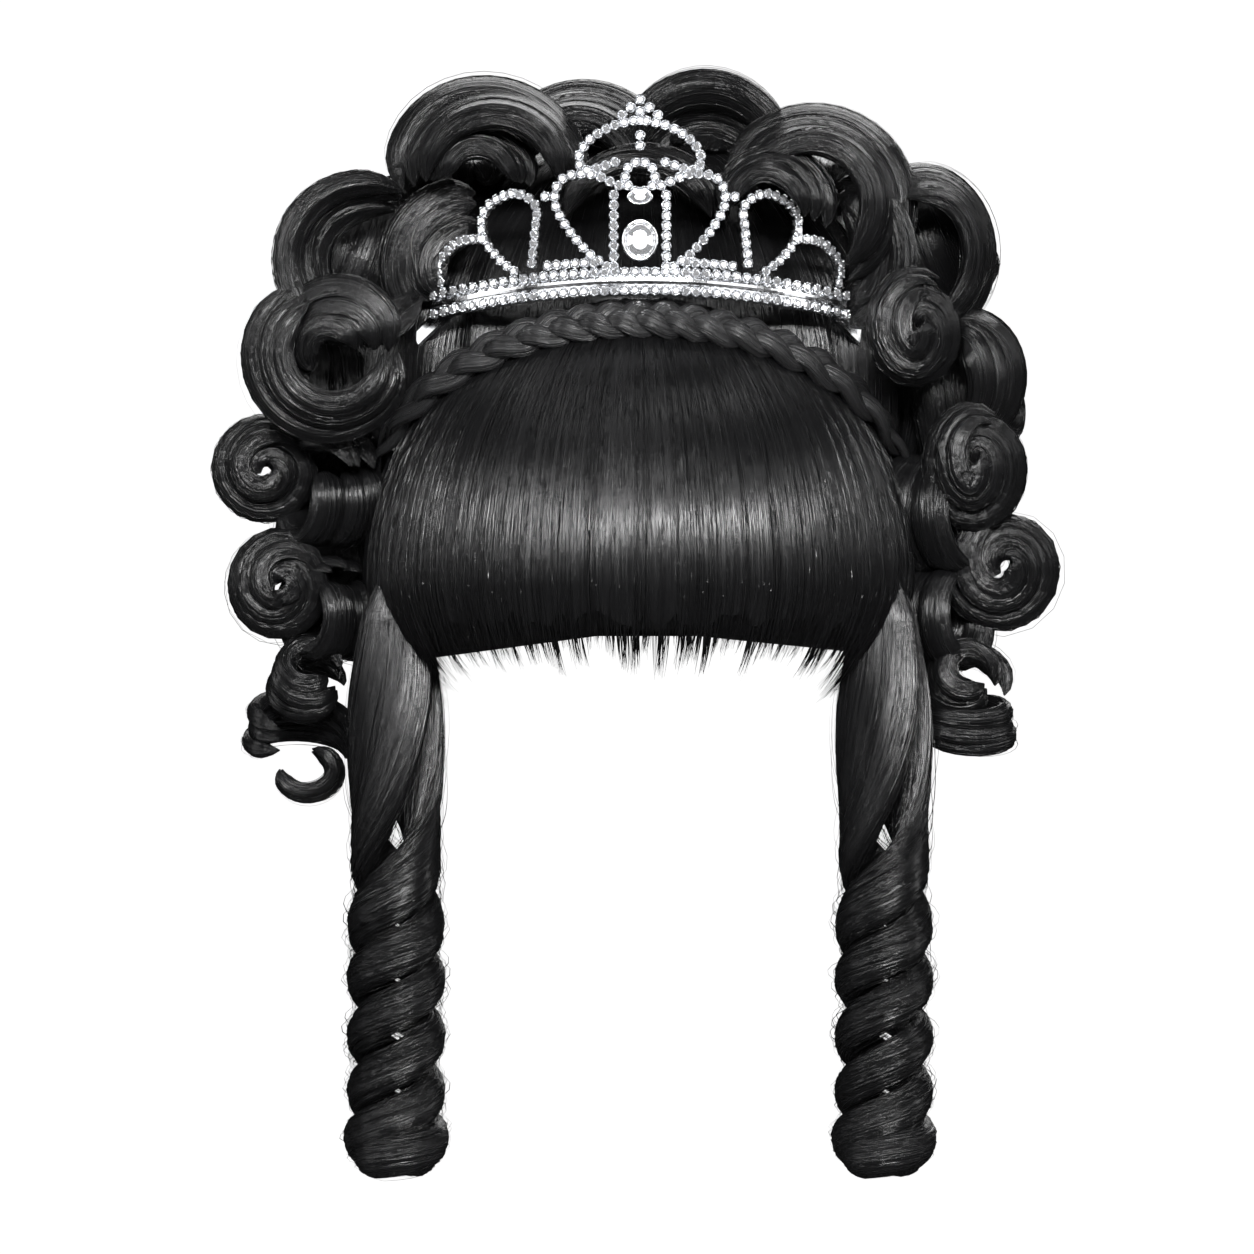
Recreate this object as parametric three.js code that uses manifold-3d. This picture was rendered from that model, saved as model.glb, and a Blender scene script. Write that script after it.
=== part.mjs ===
// A princess costume wig: a hollow cap under a thick fringe, a plait and a high pile of
// pinned curls, with two long ringlets in front of the ears and a stone-set tiara.
// Millimetres, +Z up, the fringe looks along -Y. The origin is the inner crown of the cap,
// where the wig rests on a head.
import * as THREE from "three";
import { mergeVertices } from "three/addons/utils/BufferGeometryUtils.js";
import Module from "manifold-3d";

const wasm = await Module();
wasm.setup();

// Head and cap
const HEAD_HALF_BREADTH = 77;
const HEAD_HALF_LENGTH = 96;
const CROWN_TO_WIDEST = 75;
const WIDEST_TO_RIM = 30;
const CAP_WALL = 3;
const FOREHEAD_RIM = 50;

// Dome of combed hair that the fringe continues
const HAIR_HALF_WIDTH = 94;
const HAIR_HALF_DEPTH = 112;
const HAIR_ABOVE_CROWN = 12;
const HAIR_WIDEST_BELOW = 87;

// Fringe
const FRINGE_TAIL = 37;
const FRINGE_TUCK = 0.2;
const FRINGE_TUCK_POWER = 1.7;
const FRINGE_ROOT_THICKNESS = 6;
const FRINGE_THICKNESS = 10;
const FRINGE_TIP_THICKNESS = 4;
const FRINGE_SPREAD = 80;
const FRINGE_SIDE_EDGE = 13;
const FRINGE_LOCKS = 13;
const FRINGE_HEM = 1.66;
const FRINGE_CORNER_DROP = 0.33;
const FRINGE_CORNER_FROM = 0.55;
const FRINGE_THINS_FROM = 0.6;
const LOCK_RELIEF = 1.2;
const HEM_RAGGED = 3.5;

// Plait, laid where a slanting plane meets the dome of hair
const PLAIT_SETBACK = 62;
const PLAIT_SLOPE = 0.8;
const PLAIT_STRAND = 4.2;
const PLAIT_SWING = 3.8;
const PLAIT_LIFT = 3;
const PLAIT_WAVE = 1.9;
const PLAIT_TURNS = 6;
const STRAND_WIDTH_SHARE = 0.75;
const STRAND_THICKNESS_SHARE = 0.6;
const PLAIT_HALF_ARC = 92;
const PLAIT_ROOM = 1.28;

// Pile of curls
const PILE_HALF_WIDTH = 146;
const PILE_HEIGHT = 250;
const PILE_DEPTH = 125;
const CURL_RADIUS = 20;
const CURL_WIDTH = 15;
const CURL_THICKNESS = 8.5;
const PAD_HALF_WIDTH = 106;
const PAD_HALF_DEPTH = 76;
const PAD_HALF_HEIGHT = 90;
const PAD_SETBACK = 38;
const PAD_DROP = 24;
const NAPE_BELOW_CROWN = 106;

// Ringlets
const RINGLET_ACROSS = 82;
const RINGLET_FORWARD = 34;
const RINGLET_ROOT_BELOW = 78;
const RINGLET_LENGTH = 204;
const RINGLET_RADIUS = 11.2;
const RINGLET_LOCK_WIDTH = 8.4;
const RINGLET_LOCK_THICKNESS = 5.4;
const RINGLET_LEAN = 4;

// Tiara
const TIARA_HALF_WIDTH = 70;
const TIARA_RISE = 64.5;
const TIARA_FOOT = 10;
const TIARA_SAG = 7.3;
const TIARA_CURVE_RADIUS = 85;
const TIARA_SETBACK = 58;
const STONE_ROW_RADIUS = 1.6;
const BASE_HEIGHT = 8.6;
const BASE_UP = 0.045;
const BAND_HEIGHT = 7;
const BAND_THICKNESS = 1.6;
const BAND_REACH = 1.16;
const BAND_UP = 0.02;
const BAND_DROP = 0.75;
const BAND_BENDS_FROM = 0.9;
const BASE_REACH = 0.97;
const CENTRE_STONE_HALF_WIDTH = 5;
const CENTRE_STONE_HALF_HEIGHT = 5.8;
const LOZENGE_HALF_WIDTH = 3.6;
const LOZENGE_HALF_HEIGHT = 2.1;
const STONE_DEPTH = 2.4;
const CENTRE_STONE_UP = 0.255;
const LOZENGE_UP = 0.48;
const RING_UP = 0.585;
const RING_RADIUS = 5;
const SETTING_WALL = 1.1;
const COLUMN_OVERLAP = 0.7;

// Fits between neighbours, and the fineness of the faceted solids
const CLEARANCE = 0.4;
const STONE_GAP = 0.3;
const DOME_SEGMENTS = 20;
const DOME_STEPS = 7;
const HALVINGS = 24;
const LOCK_SIDES = 5;
const DEGREE = Math.PI / 180;

const HAIR_COLOUR = 0x0b0b0c;
const METAL_COLOUR = 0xd8dadd;
const STONE_COLOUR = 0xf2f5f8;

// Solids from three.js geometry

function toSolid(geometry) {
  const bare = new THREE.BufferGeometry();
  bare.setAttribute("position", geometry.getAttribute("position"));
  bare.setIndex(geometry.index);
  const merged = mergeVertices(bare, 1e-4);
  const kept = [];
  const index = merged.index.array;
  for (let i = 0; i < index.length; i += 3) {
    const [a, b, c] = [index[i], index[i + 1], index[i + 2]];
    if (a !== b && b !== c && c !== a) kept.push(a, b, c);
  }
  const triVerts = new Uint32Array(kept);
  const vertProperties = merged.getAttribute("position").array;
  const solid = new wasm.Manifold(new wasm.Mesh({ numProp: 3, vertProperties, triVerts }));
  if (solid.volume() > 0) return solid;
  for (let i = 0; i < triVerts.length; i += 3) {
    [triVerts[i + 1], triVerts[i + 2]] = [triVerts[i + 2], triVerts[i + 1]];
  }
  return new wasm.Manifold(new wasm.Mesh({ numProp: 3, vertProperties, triVerts }));
}

function toGeometry(solid) {
  const mesh = solid.getMesh();
  const geometry = new THREE.BufferGeometry();
  const positions = new Float32Array(mesh.numVert * 3);
  for (let i = 0; i < mesh.numVert; i++) {
    const from = i * mesh.numProp;
    positions.set(mesh.vertProperties.subarray(from, from + 3), i * 3);
  }
  geometry.setAttribute("position", new THREE.BufferAttribute(positions, 3));
  geometry.setIndex(new THREE.BufferAttribute(mesh.triVerts, 1));
  geometry.computeVertexNormals();
  return geometry;
}

function largestBody(solid) {
  const bodies = solid.decompose();
  return bodies.reduce((best, body) => (body.volume() > best.volume() ? body : best));
}

function block(width, depth, height, x, y, z, lean = 0) {
  const box = new THREE.BoxGeometry(width, depth, height);
  box.rotateX(lean);
  box.translate(x, y, z);
  return toSolid(box);
}

// A dome on the head: a quarter oval from its top to its widest level, then down to its rim
function dome(halfWidth, halfDepth, top, widest, rim, grow = 0) {
  const profile = [new THREE.Vector2(0, rim)];
  profile.push(new THREE.Vector2(1, rim));
  for (let i = DOME_STEPS; i >= 0; i--) {
    const angle = (i / DOME_STEPS) * (Math.PI / 2);
    const height = widest + (top + grow - widest) * Math.cos(angle);
    profile.push(new THREE.Vector2(i === 0 ? 0 : Math.sin(angle), height));
  }
  const lathe = new THREE.LatheGeometry(profile, DOME_SEGMENTS);
  lathe.rotateX(Math.PI / 2);
  lathe.scale(halfWidth + grow, halfDepth + grow, 1);
  return toSolid(lathe);
}

// A closed solid through rings of points, with as many points in each
function ringSolid(rings, hand = 1) {
  const sides = rings[0].length;
  const positions = rings.flat().flatMap((p) => [p.x, p.y, p.z]);
  const index = [];
  for (let i = 0; i + 1 < rings.length; i++) {
    for (let k = 0; k < sides; k++) {
      const next = (k + 1) % sides;
      const a = i * sides + k;
      const b = i * sides + next;
      const c = (i + 1) * sides + next;
      const d = (i + 1) * sides + k;
      if (hand > 0) index.push(a, b, c, a, c, d);
      else index.push(a, b, d, b, c, d);
    }
  }
  const last = (rings.length - 1) * sides;
  const outline = rings[0].map((p) => p.clone());
  for (const [a, b, c] of endFaces(outline)) {
    index.push(a, c, b);
    index.push(last + a, last + b, last + c);
  }
  const geometry = new THREE.BufferGeometry();
  geometry.setAttribute("position", new THREE.Float32BufferAttribute(positions, 3));
  geometry.setIndex(index);
  return toSolid(geometry);
}

// Triangles that close a flat ring of points
function endFaces(ring) {
  const normal = new THREE.Vector3();
  ring.forEach((p, k) => normal.add(new THREE.Vector3().crossVectors(p, ring[(k + 1) % ring.length])));
  normal.normalize();
  const across = ring[1].clone().sub(ring[0]);
  across.addScaledVector(normal, -across.dot(normal)).normalize();
  const up = new THREE.Vector3().crossVectors(normal, across);
  const flat = ring.map((p) => new THREE.Vector2(p.dot(across), p.dot(up)));
  return THREE.ShapeUtils.triangulateShape(flat, []);
}

// A lock of hair swept through stations, each with a centre, a width and a thickness vector
function sweptLock(stations, sides = LOCK_SIDES, hand = 1) {
  const flat = sides === 4;
  const stretch = flat ? Math.SQRT2 : 1;
  const rings = stations.map((station) =>
    Array.from({ length: sides }, (_, k) => {
      const angle = ((k + (flat ? 0.5 : 0)) / sides) * 2 * Math.PI;
      const point = station.at.clone();
      point.addScaledVector(station.wide, stretch * Math.cos(angle));
      return point.addScaledVector(station.thick, stretch * Math.sin(angle));
    }),
  );
  return ringSolid(rings, hand);
}

// Stations along a path: the lock lies flat to "outwards", then turns about its run by "roll"
function stationsAlong(path, outwards, size, grow = 0) {
  const count = path.length;
  return path.map((at, i) => {
    const before = path[Math.max(i - 1, 0)];
    const after = path[Math.min(i + 1, count - 1)];
    const run = after.clone().sub(before).normalize();
    const out = outwards(i / (count - 1), at).clone();
    out.addScaledVector(run, -out.dot(run)).normalize();
    const side = new THREE.Vector3().crossVectors(run, out);
    const { width, thickness, roll = 0 } = size(i / (count - 1));
    const wide = side.clone().multiplyScalar(Math.cos(roll)).addScaledVector(out, Math.sin(roll));
    const thick = out.clone().multiplyScalar(Math.cos(roll)).addScaledVector(side, -Math.sin(roll));
    wide.multiplyScalar(width + grow);
    thick.multiplyScalar(thickness + grow);
    return { at: at.clone(), wide, thick, run };
  });
}

// A grown lock is longer as well, so its ends clear a neighbour too
function lengthened(stations, grow) {
  if (grow > 0) {
    const last = stations.length - 1;
    stations[0].at.addScaledVector(stations[0].run, -grow);
    stations[last].at.addScaledVector(stations[last].run, grow);
  }
  return stations;
}

// Cap: the thin base under all the hair, open below and in front of the face
function capOuter(grow = 0) {
  const rim = -(CROWN_TO_WIDEST + WIDEST_TO_RIM) - (grow > 0 ? HEAD_HALF_LENGTH : 0);
  const halfWidth = HEAD_HALF_BREADTH + CAP_WALL;
  const halfDepth = HEAD_HALF_LENGTH + CAP_WALL;
  return dome(halfWidth, halfDepth, CAP_WALL, -CROWN_TO_WIDEST, rim, grow);
}

function cap() {
  const below = -(CROWN_TO_WIDEST + WIDEST_TO_RIM + HEAD_HALF_LENGTH);
  const hollow = dome(HEAD_HALF_BREADTH, HEAD_HALF_LENGTH, 0, -CROWN_TO_WIDEST, below);
  const rise = CROWN_TO_WIDEST + WIDEST_TO_RIM - FOREHEAD_RIM;
  const lean = Math.atan2(-rise, HEAD_HALF_LENGTH);
  const reach = HEAD_HALF_LENGTH * 3;
  const face = block(reach, reach, reach, 0, 0, -reach / 2, lean);
  const faceCut = face.translate([0, -HEAD_HALF_LENGTH, -FOREHEAD_RIM]);
  return capOuter().subtract(hollow).subtract(faceCut);
}

// Dome of hair, by azimuth from the front and by level: 0 at the top, 1 at the widest, 2 at the hem
function hairPoint(azimuth, level, inset = 0) {
  const over = Math.max(level - 1, 0);
  const angle = (Math.min(level, 1) * Math.PI) / 2;
  const reach = level < 1 ? Math.sin(angle) : 1 - FRINGE_TUCK * over ** FRINGE_TUCK_POWER;
  const rise = HAIR_ABOVE_CROWN + HAIR_WIDEST_BELOW - inset;
  const height = level < 1 ? rise * Math.cos(angle) : -FRINGE_TAIL * over;
  return new THREE.Vector3(
    (HAIR_HALF_WIDTH - inset) * reach * Math.sin(azimuth),
    -(HAIR_HALF_DEPTH - inset) * reach * Math.cos(azimuth),
    height - HAIR_WIDEST_BELOW,
  );
}

// Level at which the dome of hair meets the slanting plane of the plait
function rootLevel(azimuth) {
  let low = 0;
  let high = 1;
  for (let i = 0; i < HALVINGS; i++) {
    const middle = (low + high) / 2;
    const point = hairPoint(azimuth, middle);
    const above = point.z + PLAIT_SLOPE * (point.y + PLAIT_SETBACK) > 0;
    if (above) low = middle;
    else high = middle;
  }
  return low;
}

// Fringe: a thick curved sheet of locks from the plait to its ragged hem
function fringe(grow = 0) {
  const rows = 5;
  const columns = FRINGE_LOCKS * 2;
  const spread = FRINGE_SPREAD * DEGREE + grow / HAIR_HALF_WIDTH;
  const outer = [];
  const inner = [];
  for (let j = 0; j <= columns; j++) {
    const azimuth = spread * ((2 * j) / columns - 1);
    const root = rootLevel(azimuth) + (CLEARANCE + PLAIT_STRAND - grow) / HAIR_HALF_DEPTH;
    const crest = j % 2;
    const past = Math.abs(azimuth) / spread - FRINGE_CORNER_FROM;
    const corner = Math.max(0, past / (1 - FRINGE_CORNER_FROM));
    const ragged = (crest - 0.5) * (HEM_RAGGED / FRINGE_TAIL);
    const drop = FRINGE_CORNER_DROP * Math.sin((corner * Math.PI) / 2);
    const hem = FRINGE_HEM + drop + ragged + grow / FRINGE_TAIL;
    for (let i = 0; i <= rows; i++) {
      const share = i / rows;
      const level = root + (hem - root) * share;
      const relief = crest ? 0 : LOCK_RELIEF * Math.sin(share * Math.PI * 0.75);
      outer.push(hairPoint(azimuth, level, relief - grow));
      const growth = (FRINGE_THICKNESS - FRINGE_ROOT_THICKNESS) * Math.min(share * 2, 1);
      const body = FRINGE_ROOT_THICKNESS + growth;
      const tip = Math.max(share - FRINGE_THINS_FROM, 0) / (1 - FRINGE_THINS_FROM);
      const thinning = (body - FRINGE_TIP_THICKNESS) * tip;
      inner.push(hairPoint(azimuth, level, body - thinning + grow));
    }
  }
  return sheetSolid(outer, inner, columns, rows);
}

// A closed solid between two grids of points, column by column
function sheetSolid(outer, inner, columns, rows) {
  const count = outer.length;
  const index = [];
  const at = (j, i) => j * (rows + 1) + i;
  const quad = (a, b, c, d) => index.push(a, b, c, a, c, d);
  for (let j = 0; j < columns; j++) {
    for (let i = 0; i < rows; i++) {
      quad(at(j, i), at(j, i + 1), at(j + 1, i + 1), at(j + 1, i));
      quad(count + at(j, i), count + at(j + 1, i), count + at(j + 1, i + 1), count + at(j, i + 1));
    }
    quad(at(j, 0), at(j + 1, 0), count + at(j + 1, 0), count + at(j, 0));
    quad(at(j + 1, rows), at(j, rows), count + at(j, rows), count + at(j + 1, rows));
  }
  for (let i = 0; i < rows; i++) {
    quad(at(0, i + 1), at(0, i), count + at(0, i), count + at(0, i + 1));
    quad(at(columns, i), at(columns, i + 1), count + at(columns, i + 1), count + at(columns, i));
  }
  const positions = [...outer, ...inner].flatMap((p) => [p.x, p.y, p.z]);
  const geometry = new THREE.BufferGeometry();
  geometry.setAttribute("position", new THREE.Float32BufferAttribute(positions, 3));
  geometry.setIndex(index);
  return toSolid(geometry);
}

// Plait: three strands that cross over each other along the root of the fringe
function plaitRoute(share) {
  const azimuth = (2 * share - 1) * PLAIT_HALF_ARC * DEGREE;
  return hairPoint(azimuth, rootLevel(azimuth));
}

// Smooth tube round the whole plait, which its neighbours are cut to clear
function plaitEnvelope(grow = CLEARANCE) {
  const steps = 16;
  const path = Array.from({ length: steps + 1 }, (_, i) => plaitRoute(i / steps));
  const centre = new THREE.Vector3(0, 0, -HAIR_WIDEST_BELOW);
  const out = (share, at) => at.clone().sub(centre);
  path.forEach((at) => at.addScaledVector(out(0, at).normalize(), PLAIT_LIFT));
  const size = () => ({
    width: (PLAIT_SWING + PLAIT_STRAND) * PLAIT_ROOM,
    thickness: (PLAIT_WAVE + PLAIT_STRAND) * PLAIT_ROOM,
  });
  return sweptLock(lengthened(stationsAlong(path, out, size, grow), PLAIT_STRAND), 8);
}

function plait(grow = 0) {
  const steps = PLAIT_TURNS * 4;
  const centre = new THREE.Vector3(0, 0, -HAIR_WIDEST_BELOW);
  const strands = [0, 1, 2].map((strand) => {
    const path = [];
    for (let i = 0; i <= steps; i++) {
      const share = i / steps;
      const at = plaitRoute(share);
      const run = plaitRoute(Math.min(share + 0.01, 1)).sub(plaitRoute(Math.max(share - 0.01, 0)));
      const out = at.clone().sub(centre).normalize();
      const side = new THREE.Vector3().crossVectors(run.normalize(), out);
      const phase = 2 * Math.PI * (PLAIT_TURNS * share + strand / 3);
      at.addScaledVector(out, PLAIT_LIFT + PLAIT_WAVE * Math.sin(2 * phase));
      at.addScaledVector(side, PLAIT_SWING * Math.sin(phase));
      path.push(at);
    }
    const out = (share, at) => at.clone().sub(centre);
    const size = () => ({
      width: PLAIT_STRAND * STRAND_WIDTH_SHARE,
      thickness: PLAIT_STRAND * STRAND_THICKNESS_SHARE,
      roll: Math.PI / 4,
    });
    return sweptLock(lengthened(stationsAlong(path, out, size, grow), grow), 4);
  });
  return strands.reduce((all, strand) => all.add(strand));
}

// Curls: each is a lock wound round an axis. Columns: place of the axis as shares of the
// pile's half width, height and depth; radii as shares of CURL_RADIUS, at the start and end;
// flat: height of the ring to its width; start and sweep in degrees, counter-clockwise from
// +X as seen from the front; turn and tilt of the axis, which looks at the viewer when both
// are 0; roll of the lock about its run; width and thickness as shares; drift along the axis
// as a share of CURL_WIDTH.
const CURLS = [
  // name, across, up, deep, radius, end, flat, start, sweep, turn, tilt, roll, width, thick, drift
  ["crown_curl_1", -0.344, 0.2, -0.2, 1.37, 1.3, 0.93, -15, 205, 0, -8, 28, 1.45, 0.62, 0],
  ["crown_curl_2", -0.37, 0.19, -0.26, 0.72, 0.66, 0.95, -5, 185, 0, -8, 30, 0.95, 0.5, 0],
  ["crown_curl_3", -0.39, 0.075, -0.13, 1.05, 0.95, 1, 85, 135, 10, 0, 62, 1.05, 0.6, 0],
  ["crown_curl_4", -0.14, 0.205, 0.05, 1.2, 1.15, 1, -10, 190, 0, -10, 28, 1.5, 0.65, 0],
  ["crown_curl_5", 0.14, 0.2, 0.05, 1.15, 1.1, 1, -10, 190, 0, -10, -28, 1.5, 0.65, 0],
  ["crown_curl_6", 0.385, 0.16, -0.18, 1.38, 1.3, 1, -60, 215, 0, -8, 28, 1.45, 0.65, 0],
  ["crown_curl_7", 0.3, 0.155, -0.32, 0.78, 0.72, 1.05, -20, 205, 0, -8, 32, 1, 0.5, 0],
  ["crown_curl_8", 0.45, 0.1, -0.13, 0.85, 0.8, 1.2, -80, 165, -10, 0, -52, 1.05, 0.55, 0],
  ["crown_curl_9", 0, 0.13, -0.24, 1.3, 1.3, 0.9, 5, 170, 0, -15, 20, 1, 0.6, 0],
  ["crown_sweep_1", -0.42, 0, 0.22, 2.75, 2.75, 1, 122, -100, 96, 0, 0, 1.2, 0.95, 0],
  ["crown_sweep_2", -0.14, 0.02, 0.24, 3.1, 3.1, 0.97, 112, -92, 91, 0, 0, 1.2, 0.95, 0],
  ["crown_sweep_3", 0.14, 0.02, 0.24, 3.1, 3.1, 0.97, 112, -92, 89, 0, 0, 1.2, 0.95, 0],
  ["crown_sweep_4", 0.42, 0, 0.22, 2.75, 2.75, 1, 122, -100, 84, 0, 0, 1.2, 0.95, 0],
  ["left_curl_1", -0.628, 0.0845, -0.14, 1.2, 0.95, 1, 60, 265, 0, 0, -25, 1.35, 0.65, 0],
  ["left_curl_2", -0.705, -0.035, -0.26, 0.62, 0.68, 1, -5, 235, -12, 0, 60, 0.98, 0.66, 0],
  ["left_curl_3", -0.862, -0.198, -0.12, 0.78, 0.2, 0.98, 40, 520, 0, 0, 42, 0.8, 0.5, 0.4],
  ["left_curl_4", -0.832, -0.355, -0.16, 0.74, 0.2, 1.1, 20, 520, 0, 0, 42, 0.82, 0.5, 0.4],
  ["left_curl_5", -0.765, -0.48, -0.12, 0.55, 0.42, 0.95, 0, 340, 0, -35, 15, 0.8, 0.5, 0],
  ["left_curl_6", -0.7, -0.05, -0.28, 1.2, 0.95, 0.98, 150, 215, 0, 0, 40, 0.9, 0.66, 0],
  ["left_curl_7", -0.705, -0.235, -0.08, 0.8, 0.4, 1.2, 30, 400, -50, 0, 0, 1.25, 0.55, 0],
  ["left_curl_8", -0.71, -0.39, -0.08, 0.7, 0.4, 1.15, 60, 380, -45, 0, 0, 1.15, 0.55, 0],
  ["left_tail_1", -0.79, -0.555, -0.12, 0.85, 0.75, 0.85, -20, 265, 0, -62, 0, 0.6, 0.5, 0.5],
  ["left_tail_2", -0.77, -0.606, -0.12, 0.45, 0.45, 0.8, 80, -265, 0, 0, 0, 0.4, 0.38, 0],
  ["right_curl_1", 0.65, 0.09, -0.1, 1.05, 1, 1.2, -75, 190, 10, 0, 28, 1.25, 0.6, 0],
  ["right_curl_2", 0.64, -0.012, -0.3, 0.6, 0.16, 1.4, 60, 500, 0, 0, 42, 0.85, 0.5, 0.4],
  ["right_curl_3", 0.74, -0.07, -0.1, 0.68, 0.62, 1.35, -80, 185, 0, 0, 28, 1.1, 0.6, 0],
  ["right_curl_4", 0.772, -0.194, -0.26, 0.64, 0.16, 1.45, 60, 500, 0, 0, 42, 0.9, 0.5, 0.4],
  ["right_curl_5", 0.842, -0.328, -0.16, 0.9, 0.2, 1.1, 45, 540, 0, 0, 45, 0.85, 0.55, 0.4],
  ["right_curl_6", 0.752, -0.478, -0.14, 0.58, 0.4, 1, -20, 345, 0, -25, 20, 0.9, 0.6, 0],
  ["right_curl_7", 0.67, -0.27, -0.08, 0.8, 0.4, 1.3, 30, 400, 50, 0, 0, 1.2, 0.55, 0],
  ["right_curl_8", 0.69, -0.4, -0.08, 0.7, 0.4, 1.15, 60, 380, 45, 0, 0, 1.1, 0.55, 0],
  ["right_tail_1", 0.75, -0.541, -0.12, 0.75, 0.7, 0.8, 200, 275, 0, -62, 0, 0.6, 0.45, -0.4],
];

// Plain curls of the same kind on the sides and the back. Columns: row name, height, radius,
// first and last azimuth from the front in degrees, how many, widths of the pile they follow.
const CURL_ROWS = [
  // name, up, radius, first, last, count, ring
  ["upper_back", 0.1, 1.45, 82, 278, 5, 0.98],
  ["middle_back", -0.11, 1.45, 80, 280, 6, 1.08],
  ["lower_back", -0.31, 1.4, 82, 278, 5, 1.03],
];
const BACK_CURL_SHAPE = { flat: 1, sweep: 430, roll: 30, width: 1.3, thick: 0.6, drift: 0.4 };
const BACK_CURL_CLOSING = 0.36;
const BACK_CURL_STARTS = [60, 100, 140];
const BACK_CURL_TILT = 15;
const BACK_CURL_TILT_BY_HEIGHT = 60;

// Degrees of a curl between its sections, and how a lock swells from its ends to its middle
const CURL_STEP = 48;
const CURL_END_SHARE = 0.7;
const CURL_SWELL_EASE = 0.7;

function curlPath(curl) {
  const turn = new THREE.Matrix4().makeRotationZ(curl.turn * DEGREE);
  const tilt = new THREE.Matrix4().makeRotationX(curl.tilt * DEGREE);
  const frame = turn.multiply(tilt);
  const axis = new THREE.Vector3(0, -1, 0).applyMatrix4(frame);
  const steps = Math.max(5, Math.round(Math.abs(curl.sweep) / CURL_STEP));
  const path = [];
  for (let i = 0; i <= steps; i++) {
    const share = i / steps;
    const angle = (curl.start + curl.sweep * share) * DEGREE;
    const radius = CURL_RADIUS * (curl.radius + (curl.end - curl.radius) * share);
    const at = new THREE.Vector3(radius * Math.cos(angle), 0, curl.flat * radius * Math.sin(angle));
    at.applyMatrix4(frame);
    at.addScaledVector(axis, CURL_WIDTH * curl.drift * (share - 0.5));
    path.push(at.add(curl.centre));
  }
  return path;
}

function curlSolid(curl, grow = 0) {
  const out = (share, at) => at.clone().sub(curl.centre);
  const size = (share) => {
    const swell = CURL_END_SHARE + (1 - CURL_END_SHARE) * Math.sin(Math.PI * share) ** CURL_SWELL_EASE;
    return {
      width: CURL_WIDTH * curl.width * swell,
      thickness: CURL_THICKNESS * curl.thick * swell,
      roll: curl.roll * DEGREE,
    };
  };
  const stations = lengthened(stationsAlong(curlPath(curl), out, size, grow), grow);
  return sweptLock(stations, LOCK_SIDES);
}

function chartedCurls() {
  return CURLS.map((row) => {
    const [name, across, up, deep, ...shape] = row;
    const [radius, end, flat, start, sweep, turn, tilt, roll, width, thick, drift] = shape;
    const centre = new THREE.Vector3(across * PILE_HALF_WIDTH, deep * PILE_DEPTH, up * PILE_HEIGHT);
    return { name, centre, radius, end, flat, start, sweep, turn, tilt, roll, width, thick, drift };
  });
}

function backCurls() {
  return CURL_ROWS.flatMap(([name, up, radius, first, last, count, ring]) =>
    Array.from({ length: count }, (_, k) => {
      const azimuth = first + ((last - first) * k) / (count - 1);
      const x = Math.sin(azimuth * DEGREE) * ring * PAD_HALF_WIDTH;
      const y = PAD_SETBACK - Math.cos(azimuth * DEGREE) * ring * PAD_HALF_DEPTH;
      const centre = new THREE.Vector3(x, y, up * PILE_HEIGHT);
      const start = BACK_CURL_STARTS[k % BACK_CURL_STARTS.length];
      const tilt = -BACK_CURL_TILT_BY_HEIGHT * up - BACK_CURL_TILT;
      const placed = { name: `${name}_curl_${k + 1}`, centre, start, turn: azimuth, tilt };
      return { ...placed, radius, end: radius * BACK_CURL_CLOSING, ...BACK_CURL_SHAPE };
    }),
  );
}

// Ringlet: two locks wound round each other, broad at the root and closing to a coil at the foot
const RINGLET_STATIONS = [
  // share of the lock, turns, fall, reach, width, thickness, roll in degrees
  [0, 0, 0, 0.3, 0.9, 0.9, 0],
  [0.15, 0.05, 0.25, 0.6, 1.85, 1, 0],
  [0.27, 0.24, 0.47, 0.8, 1.45, 1.1, 0],
  [0.39, 0.75, 0.612, 0.95, 1.05, 1.05, 0],
  [0.51, 1.25, 0.701, 1, 0.92, 1, 0],
  [0.63, 1.75, 0.796, 1, 0.9, 1, 0],
  [0.75, 2.25, 0.888, 1, 0.92, 1, 5],
  [0.86, 2.75, 0.968, 1.1, 0.98, 1, 14],
  [0.94, 3.12, 0.996, 1.05, 0.95, 0.95, 26],
  [1, 3.45, 1, 0.3, 0.8, 0.85, 40],
];
const RINGLET_STEPS = 26;

// Row of the ringlet's table at any share of the lock
function ringletStation(share) {
  const after = Math.max(RINGLET_STATIONS.findIndex(([at]) => at >= share), 1);
  const [from, to] = [RINGLET_STATIONS[after - 1], RINGLET_STATIONS[after]];
  const between = (share - from[0]) / (to[0] - from[0]);
  return from.map((value, column) => value + (to[column] - value) * between);
}

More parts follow.
